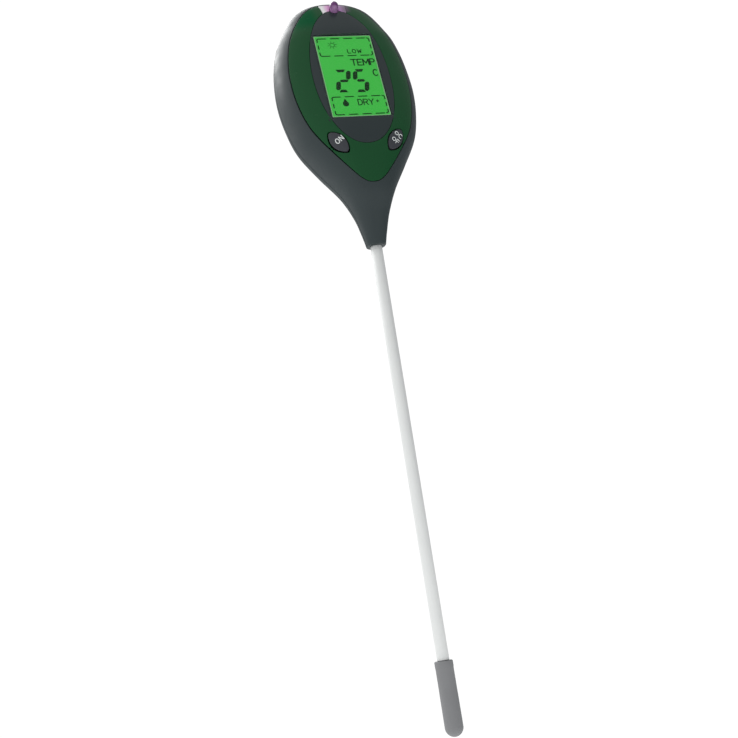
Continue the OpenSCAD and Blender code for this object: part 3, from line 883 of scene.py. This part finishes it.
rim_b = ring3(SB, SB.rim(R0 + 0.09, 0.3), FINE)
door_hole = contours(lambda p: sd_rrect(p, -13.75, 13.75, -35.75, 20.75, 1.1) - R0, (-18, 18, -40, 26), 0.5, FINE)[0]
bl = [SB.inv(BACK.pos(door_hole))]
screw_rings = []
for u, v, a, b in HS:
    t = np.arange(40) * 2 * PI / 40
    c = np.stack([-u + (2.5 + 0.35) * np.cos(t), v + (2.5 + 0.35) * np.sin(t)], -1)
    screw_rings.append((u, v, b))
    bl.append(SB.inv(BACK.pos(c)))
rear_skin = solid(SB, [rim_b] + bl, 1.1, r=R0, th=1.75)


def loft(rings, close_last=True):
    """Rings of equal count joined in turn; the last one closes on its centre."""
    m = len(rings[0])
    V = list(rings)
    F = []
    for k in range(len(rings) - 1):
        for i in range(m):
            j = (i + 1) % m
            F.append((k * m + i, k * m + j, (k + 1) * m + j, (k + 1) * m + i))
    if close_last:
        V.append(rings[-1].mean(0, keepdims=True))
        k = len(rings) - 1
        for i in range(m):
            F.append((k * m + i, k * m + (i + 1) % m, (k + 1) * m))
    return np.vstack(V), F


def rrect_ring(u0, u1, v0, v1, r, ns=14, nc=6):
    """Points round a rounded rectangle, always the same count."""
    P = []
    cs = [((u1 - r, v0 + r), -90, (u0 + r, v0), (u1 - r, v0)), ((u1 - r, v1 - r), 0, (u1, v0 + r), (u1, v1 - r)),
          ((u0 + r, v1 - r), 90, (u1 - r, v1), (u0 + r, v1)), ((u0 + r, v0 + r), 180, (u0, v1 - r), (u0, v0 + r))]
    for (cx, cy), a0, p, q in cs:
        for i in range(ns):
            t = i / ns
            P.append((p[0] + (q[0] - p[0]) * t, p[1] + (q[1] - p[1]) * t))
        for i in range(nc):
            a = math.radians(a0 + 90 * i / nc)
            P.append((cx + r * math.cos(a), cy + r * math.sin(a)))
    return np.array(P)


# battery well
op = rrect_ring(-13.75, 13.75, -35.75, 20.75, 1.1)
we = rrect_ring(-13.7, 13.7, -38.4, 18.4, 0.8)
wo = rrect_ring(-14.7, 14.7, -39.4, 19.4, 1.2)
oo = rrect_ring(-14.9, 14.9, -39.4, 22.0, 1.6)
wsk = solve_w(op[:, 0], op[:, 1], False)
wso = solve_w(oo[:, 0], oo[:, 1], False)
w1 = np.where(op[:, 1] < -35.2, np.minimum(30.6, wsk - 1.5), 27.0)
w1 = np.minimum(w1, wsk - 1.45)
rings = [face_to(oo[:, 0], oo[:, 1], wso - 1.2), face_to(op[:, 0], op[:, 1], wsk - 1.2), face_to(op[:, 0], op[:, 1], w1),
         face_to(we[:, 0], we[:, 1], w1), face_to(we[:, 0], we[:, 1], np.full(len(we), 11.0))]
Vi, Fi = loft(rings)
rings_o = [face_to(oo[:, 0], oo[:, 1], wso - 1.2), face_to(oo[:, 0], oo[:, 1], np.full(len(oo), 24.0)),
           face_to(wo[:, 0], wo[:, 1], np.full(len(wo), 24.0)), face_to(wo[:, 0], wo[:, 1], np.full(len(wo), 10.0))]
Vo, Fo = loft(rings_o)
Fi = [f[::-1] for f in Fi]
Vw = np.vstack([Vi, Vo])
Fw = Fi + [tuple(i + len(Vi) for i in f) for f in Fo]
well = flat_normals(Vw, Fw)


def tube_between(u, v, r0, r1, wa, wb, n=40):
    """A short pipe along the face's depth."""
    t = np.arange(n) * 2 * PI / n
    def R(r, w):
        return face_to(u + r * np.cos(t), v + r * np.sin(t), np.full(n, w) if np.isscalar(w) else w)
    ws_i = solve_w(u + r0 * np.cos(t), v + r0 * np.sin(t), False) - 1.0
    ws_o = solve_w(u + r1 * np.cos(t), v + r1 * np.sin(t), False) - 1.0
    rg = [R(r1, ws_o), R(r0, ws_i), R(r0, wa), R(1.4, wa), R(1.4, wb), R(r1, wb)]
    V = np.vstack(rg)
    F = []
    for k in range(6):
        for i in range(n):
            j = (i + 1) % n
            F.append((k * n + i, k * n + j, ((k + 1) % 6) * n + j, ((k + 1) % 6) * n + i)[::-1])
    return flat_normals(V, F)


bosses = [tube_between(u, v, 2.5, 3.3, b, a) for u, v, a, b in HS]
V, F, N, M = join(rear_skin, well, half_disc(0, 180, 2.42, 4.0, 0.06, 5.0), *bosses)
make("rear_shell", V, F, N, SLATE, "head", "slate_plastic", ["rear_housing"])


# battery door, with its thumb grip
def door_off(q):
    u, v = q[:, 0], q[:, 1]
    o = np.zeros(len(q))
    # a shallow dished thumb rest with three ribs
    d = (u / 8.2) ** 2 + ((v - 12.4) / 5.6) ** 2
    dish = np.clip(1 - d, 0, 1) ** 1.4
    o -= 0.7 * dish
    for c in (9.6, 12.1, 14.6):
        o += 0.42 * np.exp(-((v - c) / 0.5) ** 2) * np.clip((1 - d) * 2.2, 0, 1) * np.clip((6.2 - np.abs(u)) / 1.2, 0, 1)
    return o


dl = contours(lambda p: sd_rrect(p, -13.4, 13.4, -35.4, 20.4, 0.9) + R0, (-18, 18, -40, 26), 0.5, FINE)
door = solid(BACK, dl, 0.55, r=R0, th=1.7, off=door_off)


def box_solid(u0, u1, v0, v1, a, b, bev=0.25):
    """A block in the display's frame with rounded edges."""
    bm = bmesh.new()
    bmesh.ops.create_cube(bm, size=1)
    for q in bm.verts:
        q.co = Vector(((u0 + u1) / 2 + q.co.x * (u1 - u0), (v0 + v1) / 2 + q.co.y * (v1 - v0), (a + b) / 2 + q.co.z * (b - a)))
    bmesh.ops.bevel(bm, geom=list(bm.edges), offset=bev, segments=3, profile=0.5, affect="EDGES")
    bm.normal_update()
    P = np.array([q.co for q in bm.verts])
    nn = np.array([q.normal for q in bm.verts])
    F = [tuple(w.index for w in f.verts) for f in bm.faces]
    bm.free()
    V = face_to(P[:, 0], P[:, 1], P[:, 2])
    o = face_to(0, 0, 0)
    N = face_to(nn[:, 0], nn[:, 1], nn[:, 2]) - o
    # u, v, w is left-handed against x, y, z
    return V, [f[::-1] for f in F], N


hooks = []
for hu in (-5.5, 5.5):
    hooks.append(box_solid(hu - 1.5, hu + 1.5, -37.5, -33.4, 28.8, 30.2, 0.3))
    ws = float(solve_w(np.array([abs(hu) + 1.5]), np.array([-34.4]), False)[0])
    hooks.append(box_solid(hu - 1.45, hu + 1.45, -35.35, -33.45, 29.2, ws - 1.2, 0.2))
V, F, N, M = join(door, *hooks)
make("battery_cover", V, F, N, SLATE, "door", "slate_plastic", ["battery_door"])

# foam pad, battery and its snap
pad = box_solid(-8, 8, -18, 4, 28.98, 32.2, 0.5)
make("door_pad", *pad, FOAM, "door", "foam", ["battery_pad"])
cell = box_solid(-13.2, 13.2, -29.6, 17.4, 11.2, 28.6, 1.6)
cap_t = box_solid(-13.0, 13.0, -31.0, -29.2, 11.4, 28.4, 0.6)
posts = []
V, F, N, M = join(cell + (0,), cap_t + (1,))
P, G, Q = [], [], []


def rod_v(u, w, r, v0, v1, n=32, flare=0.0):
    t = np.arange(n) * 2 * PI / n
    prof = [(0.01, v0), (r - 0.25 + flare, v0), (r + flare, v0 + 0.25), (r + flare, v0 + 0.8), (r, v0 + 1.2), (r, v1), (0.01, v1)]
    V = np.vstack([face_to(u + a * np.cos(t), np.full(n, b), w + a * np.sin(t)) for a, b in prof])
    F = []
    for k in range(len(prof) - 1):
        for i in range(n):
            j = (i + 1) % n
            F.append((k * n + i, k * n + j, (k + 1) * n + j, (k + 1) * n + i))
    return flat_normals(V, F)


posts = [rod_v(-6.3, 19.9, 2.4, -33.4, -30.9) + (1,), rod_v(6.3, 19.9, 2.4, -33.4, -30.9) + (1,)]
V, F, N, M = join(cell + (0,), cap_t + (1,), *posts)
make("battery_block", V, F, N, [JACKET, TIN], "head", "battery_jacket", ["battery"], M)
snap = box_solid(-12.6, 12.6, -36.6, -33.5, 13.4, 26.4, 0.9)
make("snap_cap", *snap, VINYL, "head", "snap_vinyl", ["battery_snap"])

# ---------------------------------------------------------------- trim plate, window, keys
RP = 0.24


def f_plate(p):
    a = sd_outl(p)
    a = smax(a, -(sd_oval(p) - 0.1), 0.5)
    a = smax(a, -(sd_wedge(p) - 0.1), 0.5)
    a = np.maximum(a, -(sd_leaf(p, -1) - 0.12))
    return np.maximum(a, -(sd_leaf(p, 1) - 0.12))


pl = contours(lambda p: f_plate(p) + RP, (-30, 30, -56, 47), 0.4, 0.5)
pl = [L for L in pl if abs(area2(L)) > 2]
V, F, N = solid(FRONT, pl, 0.9, r=RP, th=1.15)
make("trim_plate", V, F, N, GREEN, "head", "green_gloss", ["face_plate"])

RL = 0.16
def sd_dome(p):
    q = (p - np.array([0, 39.35])) / np.array([2.05, 2.3])
    return (np.linalg.norm(q, axis=1) - 1) * 2.05


def sd_view(p):
    return sd_rrect(p, -13.9, 13.5, -23.5, 22.95, 0.25)


lens_l = contours(lambda p: np.maximum(np.maximum(sd_oval(p), -sd_dome(p)), -sd_view(p)) + RL, (-20, 20, -39, 41), 0.4, 0.5)
lens_l = [L for L in lens_l if abs(area2(L)) > 2]
frame_part = solid(FRONT, lens_l, 1.0, r=RL, th=1.1, off=-0.05)
film_l = contours(lambda p: sd_view(p) + 0.02, (-15, 15, -25, 25), 0.4, 0.6)
film = solid(FRONT, film_l, 1.0, r=0.01, th=0.12, off=-0.06, K=1)
bez_l = contours(lambda p: np.maximum(sd_rrect(p, -14.9, 14.7, -24.6, 24.2, 0.3), -sd_rrect(p, -12.99, 12.99, -22.47, 22.47, 0.1)), (-17, 17, -27, 27), 0.3, 0.5)
bezel = solid(PlaneMap(0.74), bez_l, 1.0, r=0.01, th=0.3, off=0.05, K=1)
V, F, N, M = join(frame_part + (0,), film + (1,), bezel + (0,))
make("window_lens", V, F, N, [LENS, CLEAR], "head", "smoked_lens", ["display_window"], M)

wl = contours(lambda p: np.maximum(np.maximum(np.maximum(sd_wedge(p), sd_outl(p)), -(sd_oval(p) - 0.1)), -sd_dome(p)) + 0.1, (-12, 12, 30, 46), 0.2, 0.3)
wl = [max(wl, key=lambda L: abs(area2(L)))]
V, F, N = solid(FRONT, wl, 0.6, r=0.1, th=1.5)
make("light_guide_window", V, F, N, WINDOW, "head", "clear_lens", ["light_window"])

# sensor dome: a turned bullet on its own axis
ax = math.radians(52)
prof = [(0.0, -5.2), (1.8, -5.2), (1.9, -5.1), (1.9, 0.0)] + arc(0, 0, 1.9, 0, 90, 14)
Vd, Fd, Nd = lathe(prof, 64)
Rm = np.array([[1, 0, 0], [0, math.cos(ax), -math.sin(ax)], [0, math.sin(ax), math.cos(ax)]])
Vd = Vd @ Rm.T + np.array([0, 4.7, 116.1])
Nd = Nd @ Rm.T
make("sensor_bulb", Vd, Fd, Nd, DOME, "head", "violet_lens", ["sensor_dome"])


def key(side, name, body, node):
    RK = 0.42

    def rise(q):
        d = np.clip(-sd_leaf(q, side), 0, 3)
        return 0.40 + 0.2 * (1 - np.exp(-d / 1.1))
    kl = contours(lambda p: sd_leaf(p, side) + RK + 0.28, (side * KU - 8, side * KU + 8, KV - 8, KV + 8), 0.3, 0.4)
    a = solid(FRONT, kl, 0.5, r=RK, th=2.0, off=rise, K=5)
    post_w = float(solve_w(np.array([side * 11.2]), np.array([-33.6]))[0])
    b = rod_depth(side * 11.2, -33.6, 1.8, post_w + 1.2, 5.6)
    V, F, N, M = join(a, b)
    return make(name, V, F, N, KEYP, body, "key_plastic", [node])


def rod_depth(u, v, r, a, b, n=32):
    t = np.arange(n) * 2 * PI / n
    rg = [face_to(u + 0.01 * np.cos(t), v + 0.01 * np.sin(t), np.full(n, a)), face_to(u + r * np.cos(t), v + r * np.sin(t), np.full(n, a)),
          face_to(u + r * np.cos(t), v + r * np.sin(t), np.full(n, b)), face_to(u + 0.01 * np.cos(t), v + 0.01 * np.sin(t), np.full(n, b))]
    V = np.vstack(rg)
    F = []
    for k in range(3):
        for i in range(n):
            j = (i + 1) % n
            F.append((k * n + i, k * n + j, (k + 1) * n + j, (k + 1) * n + i))
    return flat_normals(V, F)


key(-1, "key_on", "on_key", "on_button")
key(1, "key_unit", "unit_key", "unit_button")

# ---------------------------------------------------------------- lettering made of strokes
def ell(cx, cy, rx, ry, a0=0, a1=360, n=14):
    t = np.radians(np.linspace(a0, a1, n))
    return [(cx + rx * math.cos(x), cy + ry * math.sin(x)) for x in t]


GL = {
    "L": [[(0, 1), (0, 0), (0.62, 0)]],
    "O": [ell(0.35, 0.5, 0.35, 0.5, 0, 360, 21)],
    "W": [[(0, 1), (0.2, 0), (0.42, 0.75), (0.64, 0), (0.84, 1)]],
    "T": [[(0, 1), (0.7, 1)], [(0.35, 1), (0.35, 0)]],
    "E": [[(0.6, 1), (0, 1), (0, 0), (0.6, 0)], [(0, 0.5), (0.5, 0.5)]],
    "M": [[(0, 0), (0, 1), (0.4, 0.3), (0.8, 1), (0.8, 0)]],
    "P": [[(0, 0), (0, 1), (0.42, 1)] + ell(0.4, 0.74, 0.24, 0.26, 90, -90, 8) + [(0, 0.48)]],
    "C": [ell(0.38, 0.5, 0.38, 0.5, 50, 310, 16)],
    "D": [[(0, 0), (0, 1), (0.3, 1)] + ell(0.28, 0.5, 0.36, 0.5, 90, -90, 10) + [(0, 0)]],
    "R": [[(0, 0), (0, 1), (0.4, 1)] + ell(0.38, 0.74, 0.24, 0.26, 90, -90, 8) + [(0, 0.48)], [(0.32, 0.48), (0.64, 0)]],
    "Y": [[(0, 1), (0.35, 0.48), (0.7, 1)], [(0.35, 0.48), (0.35, 0)]],
    "N": [[(0, 0), (0, 1), (0.66, 0), (0.66, 1)]],
    "F": [[(0, 0), (0, 1), (0.6, 1)], [(0, 0.52), (0.48, 0.52)]],
    "+": [[(0.1, 0.5), (0.7, 0.5)], [(0.4, 0.2), (0.4, 0.8)]],
    "*": [ell(0.38, 0.54, 0.38, 0.38, 0, 360, 17)],
}
ADV = {"L": 0.62, "O": 0.7, "W": 0.84, "T": 0.7, "E": 0.6, "M": 0.8, "P": 0.64, "C": 0.7, "D": 0.66, "R": 0.66, "Y": 0.7, "N": 0.66, "F": 0.6, "+": 0.7, "*": 0.76}


def text_segs(s, cx, cy, h, wide=1.0, space=0.3, rot=0.0):
    x, segs = 0.0, []
    for ch in s:
        for poly in GL[ch]:
            for a, b in zip(poly[:-1], poly[1:]):
                segs.append(((x + a[0] * wide, a[1]), (x + b[0] * wide, b[1])))
        x += ADV[ch] * wide + space
    w = x - space
    c, sn = math.cos(math.radians(rot)), math.sin(math.radians(rot))

    def put(p):
        a, b = (p[0] - w / 2) * h, (p[1] - 0.5) * h
        return (cx + a * c - b * sn, cy + a * sn + b * c)
    return [(put(a), put(b)) for a, b in segs]


def bbox_of(segs, m):
    A = np.array([p for s in segs for p in s])
    return (A[:, 0].min() - m, A[:, 0].max() + m, A[:, 1].min() - m, A[:, 1].max() + m)


def stroke_solid(amap, segs, width, off, th=0.04, h=0.09, r=0.012):
    f = lambda p: sd_segs(p, segs, width / 2 - r)
    loops = [L for L in contours(f, bbox_of(segs, width + 0.4), h, h * 1.4) if abs(area2(L)) > 0.002]
    return solid(amap, loops, 0.35, r=r, th=th, off=off, K=1)


def field_solid(amap, f, box, off, th=0.04, h=0.1, r=0.012):
    loops = [L for L in contours(lambda p: f(p) + r, box, h, h * 1.4) if abs(area2(L)) > 0.002]
    return solid(amap, loops, 0.6, r=r, th=th, off=off, K=1)


# key labels lie on the keys
lab_on = stroke_solid(FRONT, text_segs("ON", -12.2, -33.8, 2.15, 0.9, 0.28, 31), 0.34, 0.63, th=-0.50)
make("label_on", *lab_on, LABEL, "on_key", "key_plastic")
lab_c = stroke_solid(FRONT, text_segs("*C", 13.95, -32.6, 2.0, 0.95, 0.25, -33), 0.32, 0.63, th=-0.50)
lab_f = stroke_solid(FRONT, text_segs("*F", 12.15, -35.3, 2.0, 0.95, 0.25, -33), 0.32, 0.63, th=-0.50)
V, F, N, M = join(lab_c, lab_f)
make("label_unit", V, F, N, LABEL, "unit_key", "key_plastic")

# ---------------------------------------------------------------- display
LW, LH = 12.97, 22.45
panel = box_solid(-13.25, 13.25, -22.75, 22.75, 0.72, 3.2, 0.08)
base = box_solid(-15.4, 15.4, -25, 25, 3.2, 4.3, 0.15)
V, F, N, M = join(panel + (0,), base + (1,))
make("display_panel", V, F, N, [PANEL, LIGHTG], "head", "lcd", ["lcd_glass"], M)
LP = PlaneMap(0.72)


def dashed(u0, u1, v0, v1, r):
    """Dashed rounded box, as the display's legend frames are drawn."""
    pieces = []
    for vv in (v0, v1):
        for c in (-9.4, -3.5, 2.5, 8.4):
            pieces.append([(max(c - 1.85, u0 + r), vv), (min(c + 1.85, u1 - r), vv)])
    h = v1 - v0
    for uu in (u0, u1):
        for a, b in ((0.0, 0.2), (0.4, 0.6), (0.8, 1.0)):
            pieces.append([(uu, v0 + max(a * h, r)), (uu, v0 + min(b * h, h - r))])
    for cx, cy, a0 in ((u1 - r, v1 - r, 0), (u0 + r, v1 - r, 90), (u0 + r, v0 + r, 180), (u1 - r, v0 + r, 270)):
        pieces.append(ell(cx, cy, r, r, a0, a0 + 90, 7))
    segs = []
    for p in pieces:
        segs += list(zip(p[:-1], p[1:]))
    return segs


def hseg(cx, cy, L, t, taper):
    """Horizontal bar whose long side is up (taper > 0), down (< 0) or even (0)."""
    a, b = L / 2, t / 2
    k = 0.75
    if taper > 0:
        q = [(-a, b), (a, b), (a - k, -b), (-a + k, -b)]
    elif taper < 0:
        q = [(-a + k, b), (a - k, b), (a, -b), (-a, -b)]
    else:
        q = [(-a, 0), (-a + k * 0.8, b), (a - k * 0.8, b), (a, 0), (a - k * 0.8, -b), (-a + k * 0.8, -b)]
    return np.array([(cx + x, cy + y + 0.5) for x, y in q])


def vseg(cx, cy, L, t, side):
    a, b = t / 2, L / 2
    s = 0.2  # slant
    q = [(-a * 0.25, b), (a * 0.45, b), (a, b * 0.72), (a, -b * 0.72), (a * 0.3, -b), (-a * 0.45, -b), (-a, -b * 0.72), (-a, b * 0.72)]
    return np.array([(cx + x + y * s, cy + y + 0.5) for x, y in q])


POLYS = [hseg(-4.55, 2.15, 4.0, 1.3, 1), vseg(-1.5, -0.35, 4.7, 1.9, 1), hseg(-4.0, -3.45, 3.8, 1.25, 0), vseg(-7.05, -6.1, 4.5, 1.9, -1), hseg(-5.35, -9.0, 3.6, 1.3, -1),
         hseg(3.95, 2.1, 3.6, 1.3, 1), vseg(1.55, -0.6, 4.5, 1.9, -1), hseg(3.6, -3.5, 3.6, 1.25, 0), vseg(5.6, -6.9, 4.9, 1.9, 1), hseg(2.6, -9.25, 3.6, 1.3, -1)]


def f_digits(p):
    best = np.full(len(p), 1e9)
    for q in POLYS:
        best = np.minimum(best, sd_poly(p, q))
    return best - 0.1


def f_drop(p):
    x, y = p[:, 0] + 5.75, p[:, 1] + 15.6
    body = np.hypot(x, y) - 1.35
    tip = sd_poly(np.stack([x, y], -1), np.array([(-1.15, 0.65), (0, 3.0), (1.15, 0.65)]))
    return -smax(-body, -tip, 0.5)


art = [
    stroke_solid(LP, dashed(-11.75, 12.05, 11.15, 21.05, 0.9), 0.56, 0.03, h=0.12),
    stroke_solid(LP, dashed(-11.35, 12.15, -21.3, -11.7, 0.9), 0.56, 0.03, h=0.12),
    stroke_solid(LP, text_segs("LOW", 4.1, 13.6, 2.1, 1.05, 0.36), 0.42, 0.03),
    stroke_solid(LP, text_segs("TEMP", 6.6, 7.25, 3.3, 0.95, 0.2), 0.6, 0.03),
    stroke_solid(LP, text_segs("C", 11.0, 1.1, 3.4, 0.8, 0.2), 0.6, 0.03),
    stroke_solid(LP, text_segs("DRY", 3.3, -14.9, 3.0, 0.95, 0.2), 0.5, 0.03),
    stroke_solid(LP, text_segs("+", 8.5, -14.6, 1.9, 1.0, 0.2), 0.45, 0.03),
    field_solid(LP, f_digits, (-10, 10, -12, 5), 0.03),
    field_solid(LP, f_drop, (-8, -3.5, -18, -12), 0.03),
]
sun = list(zip(ell(-5.3, 17.4, 1.05, 1.05, 0, 360, 17)[:-1], ell(-5.3, 17.4, 1.05, 1.05, 0, 360, 17)[1:]))
for i in range(8):
    a = math.radians(45 * i + 10)
    sun.append(((-5.3 + 1.5 * math.cos(a), 17.4 + 1.5 * math.sin(a)), (-5.3 + 2.1 * math.cos(a), 17.4 + 2.1 * math.sin(a))))
art.append(stroke_solid(LP, sun, 0.26, 0.03))
V, F, N, M = join(*art)
make("display_figures", V, F, N, SEGM, "head", "lcd")

border = contours(lambda p: np.maximum(sd_rrect(p, -LW, LW, -LH, LH, 0.15), -sd_rrect(p, -LW + 0.36, LW - 0.36, -LH + 0.36, LH - 0.36, 0.15)), (-14, 14, -24, 24), 0.2, 0.4)
V, F, N = solid(LP, border, 0.8, r=0.01, th=0.03, off=0.03, K=1)
make("display_border", V, F, N, EDGE, "head", "lcd")

# ---------------------------------------------------------------- probe
tz = -173.8
prof = [(1.9, tz + 0.1), (2.0, tz), (2.38, tz), (2.47, tz + 0.04), (2.5, tz + 0.14), (2.5, -60), (2.5, -0.15), (2.42, 0.0), (2.3, 0.0), (2.3, 25.8), (2.2, 26), (1.95, 26), (1.9, 25.9)]
V, F, N = lathe(prof, 96)
make("probe_rod", V, F, N, STEEL, "head", "probe_metal", ["probe_tube"])
tt = tz - 4
tip = [(0.9, tt - 10.9), (0.9, tt + 3.0), (1.25, tt + 3.0), (1.25, tt), (2.2, tt), (2.3, tt - 0.1), (2.3, tt - 14.0), (2.26, tt - 14.6), (1.6, tt - 18.6), (0.95, tt - 21.7), (0.8, tt - 22.2), (0.55, tt - 22.5), (0.25, tt - 22.66), (0.0, tt - 22.7), (0.0, tt - 10.9)][::-1]
V, F, N = lathe(tip, 80)
make("probe_point", V, F, N, TIPM, "head", "tip_metal", ["probe_tip"])
ins = [(1.3, tt), (2.24, tt), (2.3, tt + 0.06), (2.3, tz - 0.06), (2.24, tz), (1.85, tz), (1.85, tz + 3.9), (1.75, tz + 4), (1.3, tz + 4)]
V, F, N = lathe(ins, 80)
make("insulating_ring", V, F, N, INSUL, "head", "insulator", ["probe_insulator"])
cz = tz - 0.2
cap_p = [(2.36, cz - 0.5), (2.62, cz - 0.05), (2.8, cz)] + [(3.25, cz)] + arc(3.25, cz - 0.5, 0.5, 90, 0, 6) + [(3.75, cz - 2.2), (3.74, cz - 2.6), (3.66, cz - 2.95), (3.66, cz - 12.4), (3.70, cz - 12.8), (3.70, cz - 18), (3.72, cz - 24)]
cap_p += [(3.72 * math.cos(math.radians(a)), cz - 29.5 + 3.75 - 3.75 * math.sin(math.radians(a))) for a in range(0, 91, 6)]
cap_p += [(0.0, tt - 23.1), (0.7, tt - 22.8), (1.0, tt - 22.0), (2.36, tt - 14.2)]
V, F, N = lathe(cap_p[::-1], 96)
make("tip_cap", V, F, N, RUBBER, "cap", "grey_rubber", ["probe_cap"])

# ---------------------------------------------------------------- CAD nodes that stay
KEEP = {"light_sensor": BLACK, "backlight_panel": LIGHTG, "zebra_strips": ZEBRA, "lcd_holder": WHITE, "circuit_board": BOARD,
        "controller_chip": EPOXY, "board_screws": SCREW, "key_switches": SWB, "on_switch_plunger": YEL, "unit_switch_plunger": YEL,
        "battery_leads": REDW, "housing_screws": SCREW, "probe_collar": BRASS, "thermistor": BEAD, "probe_leads": ENAM}
for node, mt in KEEP.items():
    o = NODES[node]
    if not o.material_slots:
        o.data.materials.append(mt)
    for s in o.material_slots:
        s.material = mt

# ---------------------------------------------------------------- stage, light, camera
bm = bmesh.new()
bmesh.ops.create_circle(bm, cap_ends=True, cap_tris=False, segments=96, radius=1.2)
me = bpy.data.meshes.new("floor")
bm.to_mesh(me)
bm.free()
floor = bpy.data.objects.new("floor", me)
bpy.context.scene.collection.objects.link(floor)
floor.location = (0, 0, -0.32)
fm = material("floor_pale", (0.5, 0.5, 0.5, 1), rough=0.9, bump=0.0, var=0.01, spec=0.1, emit=((1, 1, 1, 1), 0.62))
me.materials.append(fm)

world = bpy.data.worlds.new("studio")
bpy.context.scene.world = world
world.use_nodes = True
nt = world.node_tree
bg = nt.nodes["Background"]
out = nt.nodes["World Output"]
tc = nt.nodes.new("ShaderNodeTexCoord")
dot = nt.nodes.new("ShaderNodeVectorMath")
dot.operation = "DOT_PRODUCT"
LD = Vector((-0.86, -0.12, 0.5)).normalized()
dot.inputs[1].default_value = LD
nt.links.new(tc.outputs["Generated"], dot.inputs[0])
rp = nt.nodes.new("ShaderNodeValToRGB")
cr = rp.color_ramp
cr.interpolation = "EASE"
cr.elements[0].position = 0.12
cr.elements[0].color = (0.30, 0.31, 0.32, 1)
cr.elements[1].position = 0.95
cr.elements[1].color = (1, 1, 1, 1)
e = cr.elements.new(0.55)
e.color = (0.65, 0.655, 0.66, 1)
mrw = nt.nodes.new("ShaderNodeMapRange")
mrw.inputs["From Min"].default_value = -1
mrw.inputs["From Max"].default_value = 1
nt.links.new(dot.outputs["Value"], mrw.inputs["Value"])
nt.links.new(mrw.outputs["Result"], rp.inputs["Fac"])
nt.links.new(rp.outputs["Color"], bg.inputs["Color"])
bg.inputs["Strength"].default_value = 0.9
bg2 = nt.nodes.new("ShaderNodeBackground")
bg2.inputs["Color"].default_value = (1, 1, 1, 1)
bg2.inputs["Strength"].default_value = 1.05
lp = nt.nodes.new("ShaderNodeLightPath")
mix = nt.nodes.new("ShaderNodeMixShader")
nt.links.new(lp.outputs["Is Camera Ray"], mix.inputs["Fac"])
nt.links.new(bg.outputs["Background"], mix.inputs[1])
nt.links.new(bg2.outputs["Background"], mix.inputs[2])
nt.links.new(mix.outputs["Shader"], out.inputs["Surface"])


def area(name, loc, target, size, power, col=(1, 1, 1)):
    d = bpy.data.lights.new(name, "AREA")
    d.shape = "RECTANGLE"
    d.size, d.size_y = size
    d.energy = power
    d.color = col
    o = bpy.data.objects.new(name, d)
    bpy.context.scene.collection.objects.link(o)
    o.location = loc
    o.rotation_mode = "QUATERNION"
    o.rotation_quaternion = (Vector(target) - Vector(loc)).to_track_quat("-Z", "Y")
    return o


area("rim_soft", (-0.31, 0.59, 0.84), (0, 0, 0.08), (0.8, 0.65), 8.4)

# the camera of the photograph's view
az, el, roll, dist = math.radians(-15.511), math.radians(-11.452), math.radians(-8.957), 0.499198
T = Vector((-0.011587, 0.0, -0.05279))
back = Vector((math.sin(az) * math.cos(el), -math.cos(az) * math.cos(el), math.sin(el)))
fwd = -back
right = fwd.cross(Vector((0, 0, 1))).normalized()
up = right.cross(fwd)
c, s = math.cos(roll), math.sin(roll)
right, up = right * c + up * s, -right * s + up * c
cam_d = bpy.data.cameras.new("camera")
cam_d.sensor_width = 36.0
cam_d.lens = 1200.0 * 36.0 / 738.0
cam_d.clip_start, cam_d.clip_end = 0.01, 50
cam = bpy.data.objects.new("camera", cam_d)
bpy.context.scene.collection.objects.link(cam)
R = Matrix(((right.x, up.x, back.x), (right.y, up.y, back.y), (right.z, up.z, back.z)))
cam.matrix_world = Matrix.Translation(T + back * dist) @ R.to_4x4()
bpy.context.scene.camera = cam
bpy.context.scene.view_settings.view_transform = "Standard"
